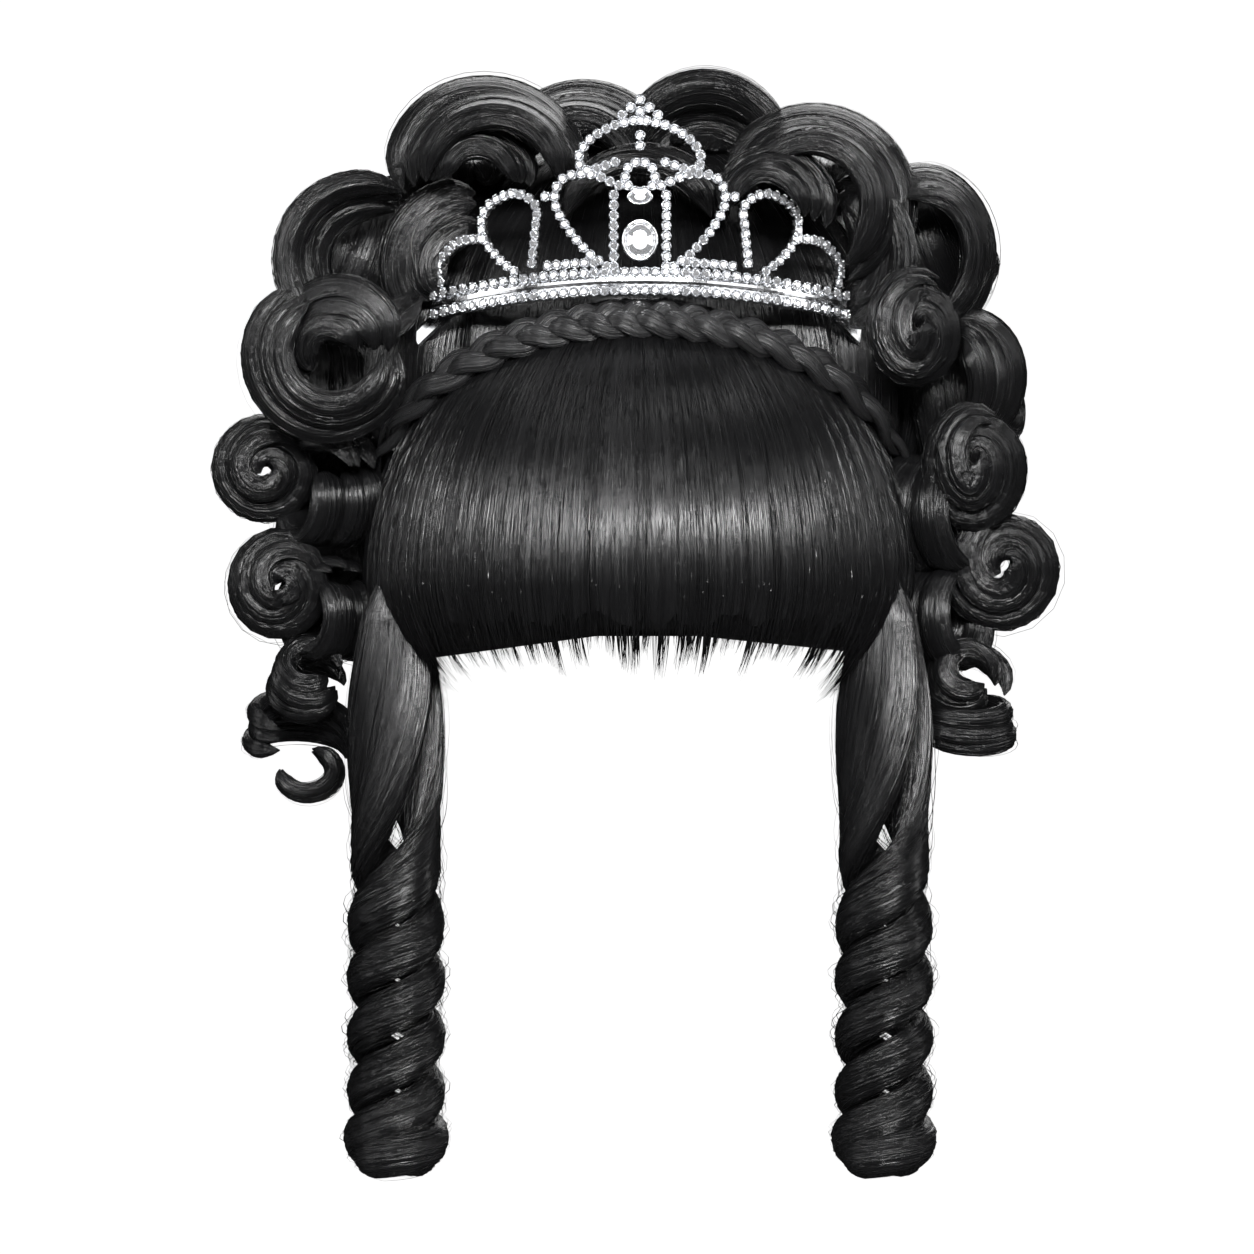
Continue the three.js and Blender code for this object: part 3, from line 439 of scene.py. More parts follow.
def swept_lock(path, outs, width, thickness, roll=0.0):
    """A lock that lies flat to the outward directions, then turns about its run by its roll."""
    run = unit(np.gradient(path, axis=0))
    out = unit(outs - run * np.sum(outs * run, axis=-1, keepdims=True))
    side = np.cross(run, out)
    c, s = (np.broadcast_to(f(roll), len(path))[:, None] for f in (np.cos, np.sin))
    return Lock(path, (side * c + out * s) * width[:, None], (out * c - side * s) * thickness[:, None])


def smooth_route(points, fineness=24):
    """A curve through given points, each stretch blended from its neighbours."""
    points = np.array(points, dtype=float)
    ends = np.vstack([2 * points[0] - points[1], points, 2 * points[-1] - points[-2]])
    route = []
    for k in range(len(points) - 1):
        before, start, end, after = ends[k:k + 4]
        t = np.linspace(0, 1, fineness, endpoint=False)[:, None]
        bend = (2 * start + (end - before) * t + (2 * before - 5 * start + 4 * end - after) * t ** 2
                + (3 * start - before - 3 * end + after) * t ** 3)
        route.append(bend / 2)
    return np.vstack(route + [points[-1:]])


def grooves(chance, angle, share, count, depth):
    """Height of the bundle's surface: a ring of random ridges, blended along the lock."""
    total = np.zeros(angle.shape)
    for ridges in (count, count * 2 + 1):
        for drift in (-1, 0, 1):
            turns = ridges + drift * 3
            phase = chance.uniform(0, 2 * math.pi)
            sway = chance.uniform(0.4, 1.2)
            total += np.cos(turns * angle + phase + sway * math.pi * share) / (1 + abs(drift))
    return depth * total / 4


def dress_lock(piece, lock, chance, parts=3, sides=20, steps=28, strands=12, loose=5, **how):
    """A lock, combed into thinner ones that lie side by side."""
    for part in lock.split(chance, parts):
        dress_part(piece, part, chance, sides, steps, strands, loose, **how)


def dress_part(piece, lock, chance, sides, steps, strands, loose, ridges=7, depth=0.07, fibre=0.36,
               end=0.12, root=0.0):
    """The grooved body of a lock, the strands that lie on it and the few that stand off."""
    share, angle = np.meshgrid(np.linspace(0, 1, steps), np.arange(sides) / sides * 2 * math.pi, indexing="ij")
    reach = 1 + grooves(chance, angle, share, ridges, depth)
    ends = np.clip(np.minimum(share + root, 1 - share) / end, 0.02, 1) ** 0.6
    rings, _ = lock.at(share, angle, reach * ends)
    around = 2 * math.pi * 1.1 * np.linalg.norm(lock.wide, axis=-1).mean() / MM
    piece.grid(rings, around, np.linspace(0, lock.length / MM, steps))
    for count, stand, thin in ((strands, 0.06, 1.0), (loose, 0.5, 0.38)):
        if not count:
            continue
        t = np.linspace(0, 1, max(18, steps * 3 // 5))[None, :]
        first = chance.uniform(0, 0.2, (count, 1))
        last = chance.uniform(0.8, 1.0, (count, 1))
        along = first + (last - first) * t
        start = chance.uniform(0, 2 * math.pi, (count, 1))
        wave = chance.uniform(-0.25, 0.25, (count, 1)) * np.sin(t * chance.uniform(2, 6, (count, 1)))
        swell = np.sin(math.pi * t) ** 0.6 * chance.uniform(0.2, 1, (count, 1))
        tuck = np.clip(np.minimum(along + root, 1 - along) / end, 0.02, 1) ** 0.6
        paths, outs = lock.at(along, start + wave, tuck + stand * swell)
        taper = np.clip(np.minimum(t, 1 - t) / 0.2, 0.12, 1)
        radii = fibre * MM * thin * chance.uniform(0.5, 1.2, (count, 1)) * taper
        piece.strands(paths, outs, radii, chance)


# %% [markdown]
# The pile is made of locks wound round a finger and pinned. Each row of the chart gives one: where
# its axis is, how wide it starts and ends, and how far it turns. The places are shares of the pile.

# %% Curls
PILE_HALF_WIDTH = 146 * MM
PILE_HEIGHT = 250 * MM
PILE_DEPTH = 125 * MM
CURL_RADIUS = 20 * MM
CURL_WIDTH = 15 * MM
CURL_THICKNESS = 8.5 * MM
PAD_HALF_WIDTH = 106 * MM
PAD_HALF_DEPTH = 76 * MM
PAD_HALF_HEIGHT = 90 * MM
PAD_SETBACK = 38 * MM
PAD_DROP = 24 * MM

CURL_COLUMNS = "across up deep radius end flat start sweep turn tilt roll width thick drift".split()
CURLS = {
    "crown_curl_1": (-0.344, 0.2, -0.2, 1.37, 1.3, 0.93, -15, 205, 0, -8, 28, 1.45, 0.62, 0),
    "crown_curl_2": (-0.37, 0.19, -0.26, 0.72, 0.66, 0.95, -5, 185, 0, -8, 30, 0.95, 0.5, 0),
    "crown_curl_3": (-0.39, 0.075, -0.13, 1.05, 0.95, 1, 85, 135, 10, 0, 62, 1.05, 0.6, 0),
    "crown_curl_4": (-0.14, 0.205, 0.05, 1.2, 1.15, 1, -10, 190, 0, -10, 28, 1.5, 0.65, 0),
    "crown_curl_5": (0.14, 0.2, 0.05, 1.15, 1.1, 1, -10, 190, 0, -10, -28, 1.5, 0.65, 0),
    "crown_curl_6": (0.385, 0.16, -0.18, 1.38, 1.3, 1, -60, 215, 0, -8, 28, 1.45, 0.65, 0),
    "crown_curl_7": (0.3, 0.155, -0.32, 0.78, 0.72, 1.05, -20, 205, 0, -8, 32, 1, 0.5, 0),
    "crown_curl_8": (0.45, 0.1, -0.13, 0.85, 0.8, 1.2, -80, 165, -10, 0, -52, 1.05, 0.55, 0),
    "crown_curl_9": (0, 0.13, -0.24, 1.3, 1.3, 0.9, 5, 170, 0, -15, 20, 1, 0.6, 0),
    "crown_sweep_1": (-0.42, 0, 0.22, 2.75, 2.75, 1, 122, -100, 96, 0, 0, 1.2, 0.95, 0),
    "crown_sweep_2": (-0.14, 0.02, 0.24, 3.1, 3.1, 0.97, 112, -92, 91, 0, 0, 1.2, 0.95, 0),
    "crown_sweep_3": (0.14, 0.02, 0.24, 3.1, 3.1, 0.97, 112, -92, 89, 0, 0, 1.2, 0.95, 0),
    "crown_sweep_4": (0.42, 0, 0.22, 2.75, 2.75, 1, 122, -100, 84, 0, 0, 1.2, 0.95, 0),
    "left_curl_1": (-0.628, 0.0845, -0.14, 1.2, 0.95, 1, 60, 265, 0, 0, -25, 1.35, 0.65, 0),
    "left_curl_2": (-0.705, -0.035, -0.26, 0.62, 0.68, 1, -5, 235, -12, 0, 60, 0.98, 0.66, 0),
    "left_curl_3": (-0.862, -0.198, -0.12, 0.78, 0.08, 0.98, 40, 520, 0, 0, 42, 0.8, 0.5, 0.4),
    "left_curl_4": (-0.832, -0.355, -0.16, 0.74, 0.08, 1.1, 20, 520, 0, 0, 42, 0.82, 0.5, 0.4),
    "left_curl_5": (-0.765, -0.48, -0.12, 0.55, 0.42, 0.95, 0, 340, 0, -35, 15, 0.8, 0.5, 0),
    "left_curl_6": (-0.7, -0.05, -0.28, 1.2, 0.95, 0.98, 115, 250, 0, 0, 40, 0.9, 0.66, 0),
    "left_curl_7": (-0.705, -0.235, -0.08, 0.8, 0.4, 1.2, 30, 400, -50, 0, 0, 1.25, 0.55, 0),
    "left_curl_8": (-0.71, -0.39, -0.08, 0.7, 0.4, 1.15, 60, 380, -45, 0, 0, 1.15, 0.55, 0),
    "left_tail_1": (-0.79, -0.555, -0.12, 0.85, 0.75, 0.85, -20, 265, 0, -62, 0, 0.6, 0.5, 0.5),
    "left_tail_2": (-0.77, -0.606, -0.12, 0.45, 0.45, 0.8, 80, -265, 0, 0, 0, 0.4, 0.38, 0),
    "right_curl_1": (0.65, 0.09, -0.1, 1.05, 1, 1.2, -75, 190, 10, 0, 28, 1.25, 0.6, 0),
    "right_curl_2": (0.64, -0.012, -0.3, 0.6, 0.16, 1.4, 60, 500, 0, 0, 42, 0.85, 0.5, 0.4),
    "right_curl_3": (0.74, -0.07, -0.1, 0.68, 0.62, 1.35, -80, 185, 0, 0, 28, 1.1, 0.6, 0),
    "right_curl_4": (0.772, -0.194, -0.26, 0.64, 0.16, 1.45, 60, 500, 0, 0, 42, 0.9, 0.5, 0.4),
    "right_curl_5": (0.842, -0.328, -0.16, 0.9, 0.08, 1.1, 80, 505, 0, 0, 45, 0.85, 0.55, 0.4),
    "right_curl_6": (0.752, -0.478, -0.14, 0.58, 0.4, 1, -20, 345, 0, -25, 20, 0.9, 0.6, 0),
    "right_curl_7": (0.67, -0.27, -0.08, 0.8, 0.4, 1.3, 30, 400, 50, 0, 0, 1.2, 0.55, 0),
    "right_curl_8": (0.69, -0.4, -0.08, 0.7, 0.4, 1.15, 60, 380, 45, 0, 0, 1.1, 0.55, 0),
    "right_tail_1": (0.75, -0.541, -0.12, 0.75, 0.7, 0.8, 200, 275, 0, -62, 0, 0.6, 0.45, -0.4),
}
CURL_ROWS = {
    "upper_back": dict(up=0.1, radius=1.45, first=82, last=278, count=5, ring=0.98),
    "middle_back": dict(up=-0.11, radius=1.45, first=80, last=280, count=6, ring=1.08),
    "lower_back": dict(up=-0.28, radius=1.35, first=82, last=278, count=5, ring=1.03),
}
BACK_CURL_SWEEP = 430
BACK_CURL_CLOSING = 0.36


def turned(points, turn, tilt):
    c, s = math.cos(tilt * DEGREE), math.sin(tilt * DEGREE)
    x, y, z = points[..., 0], points[..., 1] * c - points[..., 2] * s, points[..., 1] * s + points[..., 2] * c
    c, s = math.cos(turn * DEGREE), math.sin(turn * DEGREE)
    return np.stack([x * c - y * s, x * s + y * c, z], -1)


def curl_lock(centre, radius, end, flat, start, sweep, turn, tilt, roll, width, thick, drift):
    steps = max(24, round(abs(sweep) / 7))
    share = np.linspace(0, 1, steps)
    angle = (start + sweep * share) * DEGREE
    reach = CURL_RADIUS * (radius + (end - radius) * share)
    ring = np.stack([reach * np.cos(angle), 0 * angle, flat * reach * np.sin(angle)], -1)
    axis = turned(np.array([0.0, -1.0, 0.0]), turn, tilt)
    spokes = turned(ring, turn, tilt) + axis * (CURL_WIDTH * drift * (share - 0.5))[:, None]
    swell = 0.7 + 0.3 * np.sin(math.pi * share) ** 0.7
    half_width = CURL_WIDTH * width * swell
    half_thickness = CURL_THICKNESS * thick * swell
    return swept_lock(spokes + centre, spokes, half_width, half_thickness, roll * DEGREE)


def make_curl(name, centre, **shape):
    chance = seeded(name)
    lock = curl_lock(np.array(centre), **shape)
    piece = Piece(name + "_hair")
    dress_lock(piece, lock, chance)
    piece.make(hair_material, [name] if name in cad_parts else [])


for name, row in CURLS.items():
    chart = dict(zip(CURL_COLUMNS, row))
    across, up, deep = (chart.pop(key) for key in ("across", "up", "deep"))
    make_curl(name, (across * PILE_HALF_WIDTH, deep * PILE_DEPTH, up * PILE_HEIGHT), **chart)

for row_name, row in CURL_ROWS.items():
    for k in range(row["count"]):
        azimuth = row["first"] + (row["last"] - row["first"]) * k / (row["count"] - 1)
        x = math.sin(azimuth * DEGREE) * row["ring"] * PAD_HALF_WIDTH
        y = PAD_SETBACK - math.cos(azimuth * DEGREE) * row["ring"] * PAD_HALF_DEPTH
        make_curl(f"{row_name}_curl_{k + 1}", (x, y, row["up"] * PILE_HEIGHT), radius=row["radius"],
                  end=row["radius"] * BACK_CURL_CLOSING, flat=1, start=60 + 40 * (k % 3),
                  sweep=BACK_CURL_SWEEP, turn=azimuth, tilt=-60 * row["up"] - 15, roll=30, width=1.3,
                  thick=0.6, drift=0.4)
print("Curls:", len(tally), "pieces,", sum(tally.values()), "triangles")

# %% [markdown]
# The fringe and the combed hair lie on one dome. A point on it is found by its azimuth from the
# front and its level: 0 at the top, 1 at the widest and 2 at the foot of the fringe.

# %% Dome of hair
HAIR_HALF_WIDTH = 94 * MM
HAIR_HALF_DEPTH = 112 * MM
HAIR_ABOVE_CROWN = 12 * MM
HAIR_WIDEST_BELOW = 87 * MM
FRINGE_TAIL = 37 * MM
FRINGE_TUCK = 0.2
PLAIT_SETBACK = 62 * MM
PLAIT_SLOPE = 0.8


def hair_point(azimuth, level, inset=0.0):
    over = np.maximum(level - 1, 0)
    angle = np.minimum(level, 1) * math.pi / 2
    reach = np.where(level < 1, np.sin(angle), 1 - FRINGE_TUCK * over ** 1.7)
    rise = HAIR_ABOVE_CROWN + HAIR_WIDEST_BELOW - inset
    height = np.where(level < 1, rise * np.cos(angle), -FRINGE_TAIL * over)
    x = (HAIR_HALF_WIDTH - inset) * reach * np.sin(azimuth)
    y = -(HAIR_HALF_DEPTH - inset) * reach * np.cos(azimuth)
    return np.stack([x, y, height - HAIR_WIDEST_BELOW], -1)


def root_level(azimuth):
    """Level at which the dome meets the slanting plane of the plait, by halving the range."""
    low, high = np.zeros_like(azimuth), np.ones_like(azimuth)
    for _ in range(24):
        middle = (low + high) / 2
        point = hair_point(azimuth, middle)
        above = point[..., 2] + PLAIT_SLOPE * (point[..., 1] + PLAIT_SETBACK) > 0
        low, high = np.where(above, middle, low), np.where(above, high, middle)
    return low


# %% [markdown]
# The fringe is thick and combed straight, and cut to a ragged edge. A grooved sheet gives its mass,
# and hundreds of strands on it give the fine lines, the split tips and the odd stray hair.

# %% Fringe
FRINGE_SPREAD = 80 * DEGREE
FRINGE_HEM = 1.66
FRINGE_CORNER_DROP = 0.33
FRINGE_CORNER_FROM = 0.55
FRINGE_THICKNESS = 9 * MM
FRINGE_STRANDS = 1400
FRINGE_WISPS = 62
WISP_RAGGED = 0.15
WISP_PAST_SHEET = 0.3
WISP_GATHER = 0.85


def hem_level(azimuth):
    past = (np.abs(azimuth) / FRINGE_SPREAD - FRINGE_CORNER_FROM) / (1 - FRINGE_CORNER_FROM)
    return FRINGE_HEM + FRINGE_CORNER_DROP * np.sin(np.clip(past, 0, 1) * math.pi / 2)


def make_fringe():
    chance = seeded("fringe")
    piece = Piece("fringe_hair")
    columns, rows = 240, 26
    azimuth = np.linspace(-FRINGE_SPREAD, FRINGE_SPREAD, columns)
    wisps = np.linspace(-FRINGE_SPREAD, FRINGE_SPREAD, FRINGE_WISPS) + chance.normal(0, 0.008, FRINGE_WISPS)
    reach = chance.uniform(-WISP_RAGGED, WISP_RAGGED, FRINGE_WISPS)
    hem = hem_level(azimuth) - WISP_PAST_SHEET + 0.6 * np.interp(azimuth, wisps, reach)
    relief = chance.uniform(-1, 1, columns)
    relief = 0.4 * MM * (relief + np.roll(relief, 1)) / 2
    share = np.linspace(0, 1, rows)[:, None]
    root = root_level(azimuth)[None, :]
    level = root + (hem[None, :] - root) * share
    depth = FRINGE_THICKNESS * np.clip((1.02 - share) * 3, 0.12, 1)
    outer = hair_point(azimuth[None, :] + 0 * level, level, relief[None, :] * share)
    inner = hair_point(azimuth[None, :] + 0 * level, level, depth + 0 * level)
    rings = np.concatenate([outer, inner[:, ::-1]], axis=1)
    piece.grid(rings, 2 * 2 * FRINGE_SPREAD * HAIR_HALF_WIDTH / MM, np.linspace(0, 120, rows))
    t = np.linspace(0, 1, 17)[None, :]
    start = chance.uniform(-FRINGE_SPREAD, FRINGE_SPREAD, (FRINGE_STRANDS, 1))
    nearest = np.abs(start - wisps[None, :]).argmin(axis=1)
    gathered = (wisps[nearest][:, None] - start) * WISP_GATHER * chance.uniform(0.3, 1.2, (FRINGE_STRANDS, 1))
    top = root_level(start)
    tip = chance.normal(0, 0.035, (FRINGE_STRANDS, 1)) - np.abs(chance.normal(0, 0.04, (FRINGE_STRANDS, 1)))
    bottom = hem_level(start) + 0.06 + reach[nearest][:, None] + tip
    from_root = chance.uniform(0, 1, (FRINGE_STRANDS, 1)) < 0.55
    first = np.where(from_root, 0.0, chance.uniform(0, 0.6, (FRINGE_STRANDS, 1)))
    shares = first + (1 - first) * t
    level = top + (bottom - top) * shares
    drift = chance.normal(0, 0.01, (FRINGE_STRANDS, 1)) * t ** 2
    depth = chance.uniform(-0.3, 1.0, (FRINGE_STRANDS, 1)) * MM * (1 + 4 * t ** 6)
    paths = hair_point(start + drift + gathered * shares ** 7, level, depth)
    outs = unit(paths - np.array([0, 0, -HAIR_WIDEST_BELOW]))
    taper = np.clip((1.0 - t) / 0.3, 0.1, 1)
    radii = 0.38 * MM * chance.uniform(0.5, 1.1, (FRINGE_STRANDS, 1)) * taper
    piece.strands(paths, outs, radii, chance)
    piece.make(hair_material, ["fringe"])


make_fringe()
print("Fringe:", tally["fringe_hair"], "triangles")

# %% [markdown]
# Between the plait and the tiara the hair is combed up and back, and behind the ears it lies over
# the nape. Under the curls is a pad of the same hair. All three are sheets on the cap.

# %% Combed hair and pad
NAPE_BELOW_CROWN = 106 * MM
CAP_HALF_BREADTH = 80 * MM
COMBED_STRANDS = 500
PAD_COLUMNS = 160
PAD_TOP, PAD_FOOT = 88, -45
PAD_WALL = 3 * MM
PAD_SUNK = 2 * MM


def closed_sheet(piece, outer, inner, across, along):
    rings = np.concatenate([outer, inner[:, ::-1]], axis=1)
    piece.grid(rings, across, along)


def pad_point(around, fall, inset=0.0):
    ripple = 1 + 0.012 * np.sin(23 * around + 5 * fall) + 0.01 * np.sin(41 * around)
    x = (PAD_HALF_WIDTH - inset) * np.cos(fall) * np.sin(around) * ripple
    y = PAD_SETBACK - (PAD_HALF_DEPTH - inset) * np.cos(fall) * np.cos(around) * ripple
    z = -PAD_DROP + (PAD_HALF_HEIGHT - inset) * np.sin(fall)
    return np.stack([x, y, z + 0 * around], -1)


def add_pad(piece):
    """A shell from the crown down to where it goes under the dome of hair, open below."""
    around = np.arange(PAD_COLUMNS)[None, :] / PAD_COLUMNS * 2 * math.pi
    fall = np.linspace(PAD_TOP, PAD_FOOT, 200)[:, None] * DEGREE
    dome = np.array([HAIR_HALF_WIDTH, HAIR_HALF_DEPTH, HAIR_ABOVE_CROWN + HAIR_WIDEST_BELOW]) - PAD_SUNK
    spoke = (pad_point(around, fall) + np.array([0, 0, HAIR_WIDEST_BELOW])) / dome
    under = np.linalg.norm(spoke, axis=-1) < 1
    end = fall[under.argmax(axis=0), 0][None, :]
    share = np.linspace(0, 1, 30)[:, None]
    fall = PAD_TOP * DEGREE * (1 - share) + end * share
    outer = pad_point(around, fall)
    inner = pad_point(around, fall, PAD_WALL)
    piece.grid(np.concatenate([outer, inner[::-1]]), 500, np.linspace(0, 500, 60))


def make_hair_body():
    chance = seeded("hair_body")
    piece = Piece("hair_body_hair")
    thickness = HAIR_HALF_WIDTH - CAP_HALF_BREADTH - 1 * MM
    columns, rows = 200, 20
    azimuth = np.linspace(-98, 98, columns) * DEGREE
    share = np.linspace(0, 1, rows)[:, None]
    root = root_level(azimuth)[None, :] * 0.99
    level = root * (1 - share) + 0.03 * share
    bare = azimuth[None, :] + 0 * level
    relief = 0.3 * MM * chance.uniform(-1, 1, (rows, 1))
    outer = hair_point(bare, level, relief * (1 - share)).transpose(1, 0, 2)
    inner = hair_point(bare, level, 8 * MM + 0 * level).transpose(1, 0, 2)
    closed_sheet(piece, outer, inner, 180, np.linspace(0, 300, columns))
    relief = 0.5 * MM * chance.uniform(-1, 1, columns)
    nape = 1 + (NAPE_BELOW_CROWN - HAIR_WIDEST_BELOW) / FRINGE_TAIL
    azimuth = np.linspace(84, 276, columns) * DEGREE
    level = 0.03 + (nape - 0.03) * share + 0 * azimuth[None, :]
    bare = azimuth[None, :] + 0 * level
    outer = hair_point(bare, level, relief[None, :] * share)
    inner = hair_point(bare, level, thickness + 0 * level)
    closed_sheet(piece, outer, inner, 400, np.linspace(0, 160, rows))
    add_pad(piece)
    count = COMBED_STRANDS
    t = np.linspace(0, 1, 16)[None, :]
    side = np.where(chance.uniform(0, 1, (count, 1)) < 0.5, -1, 1)
    start = chance.uniform(24, 104, (count, 1))
    bare = side * (start - chance.uniform(0.35, 0.95, (count, 1)) * start * t) * DEGREE
    lifted = chance.uniform(-0.04, 0.4, (count, 1)) + chance.uniform(0.05, 0.4, (count, 1)) * t
    depth = chance.uniform(-0.5, 0.4, (count, 1)) * MM + 0 * t
    paths = hair_point(bare, root_level(bare) * (1 - lifted), depth)
    outs = unit(paths - np.array([0, 0, -HAIR_WIDEST_BELOW]))
    radii = 0.34 * MM * chance.uniform(0.5, 1.1, (count, 1)) * np.clip(np.minimum(t, 1 - t) / 0.2, 0.1, 1)
    piece.strands(paths, outs, radii, chance)
    piece.make(hair_material, ["hair_body"])


make_hair_body()
print("Combed hair and pad:", tally["hair_body_hair"], "triangles")

# %% [markdown]
# The plait is three locks that pass over each other in turn. Each swings from side to side once a
# turn and rises twice, so that the outer one always crosses over the middle one.

# %% Plait
PLAIT_STRAND = 4.2 * MM
PLAIT_SWING = 3.8 * MM
PLAIT_LIFT = 3 * MM
PLAIT_WAVE = 1.9 * MM
PLAIT_TURNS = 6
PLAIT_HALF_ARC = 92 * DEGREE


def make_plait():
    piece = Piece("plait_hair")
    share = np.linspace(0, 1, 160)
    azimuth = (2 * share - 1) * PLAIT_HALF_ARC
    route = hair_point(azimuth, root_level(azimuth))
    outs = unit(route - np.array([0, 0, -HAIR_WIDEST_BELOW]))
    sides = unit(np.cross(np.gradient(route, axis=0), outs))
    for strand in range(3):
        phase = 2 * math.pi * (PLAIT_TURNS * share + strand / 3)
        lift = PLAIT_LIFT + PLAIT_WAVE * np.sin(2 * phase)
        path = route + outs * lift[:, None] + sides * (PLAIT_SWING * np.sin(phase))[:, None]
        size = np.full(len(path), PLAIT_STRAND)
        lock = swept_lock(path, outs, size, size * 0.75)
        dress_lock(piece, lock, seeded(f"plait_{strand}"), parts=1, sides=26, steps=150, strands=18,
                   loose=3, fibre=0.26)
    piece.make(plait_painted_sheen_material, ["plait"])


make_plait()
print("Plait:", tally["plait_hair"], "triangles")

# %% [markdown]
# A ringlet is two flat locks wound round each other, broad where they leave the head and closing
# to a soft coil at the foot.

# %% Ringlets
RINGLET_ACROSS = 82 * MM
RINGLET_FORWARD = 34 * MM
RINGLET_ROOT_BELOW = 78 * MM
RINGLET_LENGTH = 204 * MM
RINGLET_RADIUS = 11.2 * MM
RINGLET_LOCK_WIDTH = 7.7 * MM
RINGLET_LOCK_THICKNESS = 5.4 * MM
RINGLET_LEAN = 4 * MM
RINGLET_STATIONS = [
    # share of the lock, turns, fall, reach, width, thickness, roll in degrees
    (0, 0, 0, 0.3, 0.9, 0.9, 0),
    (0.15, 0.05, 0.25, 0.6, 1.85, 1, 0),
    (0.27, 0.24, 0.47, 0.8, 1.45, 1.1, 0),
    (0.39, 0.75, 0.612, 0.95, 1.05, 1.05, 0),
    (0.51, 1.25, 0.701, 1, 0.92, 1, 0),
    (0.63, 1.75, 0.796, 1, 0.9, 1, 0),
    (0.75, 2.25, 0.888, 1, 0.92, 1, 5),
    (0.86, 2.75, 0.968, 1.1, 0.98, 1, 14),
    (0.94, 3.12, 0.996, 1.05, 0.95, 0.95, 26),
    (1, 3.45, 1, 0.3, 0.8, 0.85, 40),
]


def make_ringlet(name, side):
    piece = Piece(name + "_hair")
    share = np.linspace(0, 1, 130)
    stations = smooth_route(RINGLET_STATIONS)
    turns, fall, reach, width, thick, roll = (np.interp(share, stations[:, 0], column)
                                              for column in stations.T[1:])
    sway = RINGLET_LEAN * np.sin(fall * math.pi)
    height = -RINGLET_ROOT_BELOW - RINGLET_LENGTH * fall
    axis = np.stack([side * RINGLET_ACROSS + 0 * fall, -RINGLET_FORWARD - sway, height], -1)
    for number in range(2):
        angle = 2 * math.pi * (turns + 0.25 + number / 2)
        outs = np.stack([np.cos(angle), -np.sin(angle), 0 * angle], -1)
        path = axis + outs * (RINGLET_RADIUS * reach)[:, None]
        lock = swept_lock(path, outs, RINGLET_LOCK_WIDTH * width, RINGLET_LOCK_THICKNESS * thick, roll * DEGREE)
        dress_lock(piece, lock, seeded(f"{name}_{number}"), parts=1, sides=44, steps=100, strands=52,
                   loose=26, ridges=11, depth=0.07, end=0.06, root=0.0)
    piece.make(hair_material, [name])


make_ringlet("left_ringlet", -1)
make_ringlet("right_ringlet", 1)
print("Ringlets:", tally["left_ringlet_hair"], "triangles each")

# %% Cap
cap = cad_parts["wig_cap"]
cap.data.materials.clear()
cap.data.materials.append(cap_finish())

# %% [markdown]
# The tiara is a curved upright of arches on two rows of stones and a flat band. Each small stone
# sits in a cup of its own, soldered to the next, so the arches are rows of cups along smooth curves.

# %% Tiara
TIARA_HALF_WIDTH = 70 * MM
TIARA_RISE = 64.5 * MM
TIARA_FOOT = 10 * MM
TIARA_SAG = 7.3 * MM
TIARA_CURVE_RADIUS = 85 * MM
TIARA_SETBACK = 58 * MM
STONE_PITCH = 3.35 * MM
STONE_RADIUS = 1.62 * MM
CUP_RADIUS = 1.86 * MM
BASE_HEIGHT = 8.6 * MM
BASE_UP = 0.045
BAND_HEIGHT = 7 * MM
BAND_REACH = 1.16
BAND_UP = 0.02
BAND_DROP = 0.75
TOP_ARCH = [(-0.12, 0.66), (-0.254, 0.62), (-0.292, 0.684), (-0.244, 0.772), (-0.139, 0.845), (-0.03, 0.875)]
SIDE_ARCHES = [
    [(-0.1, 0.54), (-0.244, 0.6), (-0.37, 0.575), (-0.407, 0.466), (-0.359, 0.342), (-0.254, 0.2), (-0.16, 0.12)],
    [(-0.517, 0.14), (-0.502, 0.3), (-0.5, 0.44), (-0.608, 0.503), (-0.742, 0.425), (-0.751, 0.285),
     (-0.675, 0.166), (-0.6, 0.1)],
    [(-0.76, 0.275), (-0.88, 0.254), (-0.967, 0.145), (-0.955, 0.05)],
    [(-0.125, 0.49), (-0.125, 0.3), (-0.125, 0.12)],
    [(-0.452, 0.485)],
]
THIRD_ROW = (0.22, 0.44)
FINIAL = [(0, 0.985), (-0.045, 0.945), (0.045, 0.945), (-0.085, 0.905), (0.085, 0.905), (0, 0.925), (0, 0.878),
          (0, 0.8), (0, 0.745)]
RING_UP = 0.585
RING_RADIUS = 5 * MM


def tiara_point(across, up, forward=0.0):
    across = np.asarray(across, dtype=float)
    radius = TIARA_CURVE_RADIUS + forward
    angle = np.arcsin(np.clip(across * TIARA_HALF_WIDTH / TIARA_CURVE_RADIUS, -1, 1))
    depth = TIARA_CURVE_RADIUS - TIARA_SETBACK - radius * np.cos(angle)
    return np.stack([radius * np.sin(angle), depth, TIARA_FOOT + up * TIARA_RISE + 0 * angle], -1)


def sag_at(across):
    return -TIARA_SAG / TIARA_RISE * across ** 2


def spaced(route, pitch):
    """Points a pitch apart along a route, with its two ends kept."""
    length = np.concatenate([[0], np.linalg.norm(np.diff(route, axis=0), axis=-1).cumsum()])
    stops = np.linspace(0, length[-1], max(2, round(length[-1] / pitch) + 1))
    return np.stack([np.interp(stops, length, route[:, c]) for c in range(3)], -1)


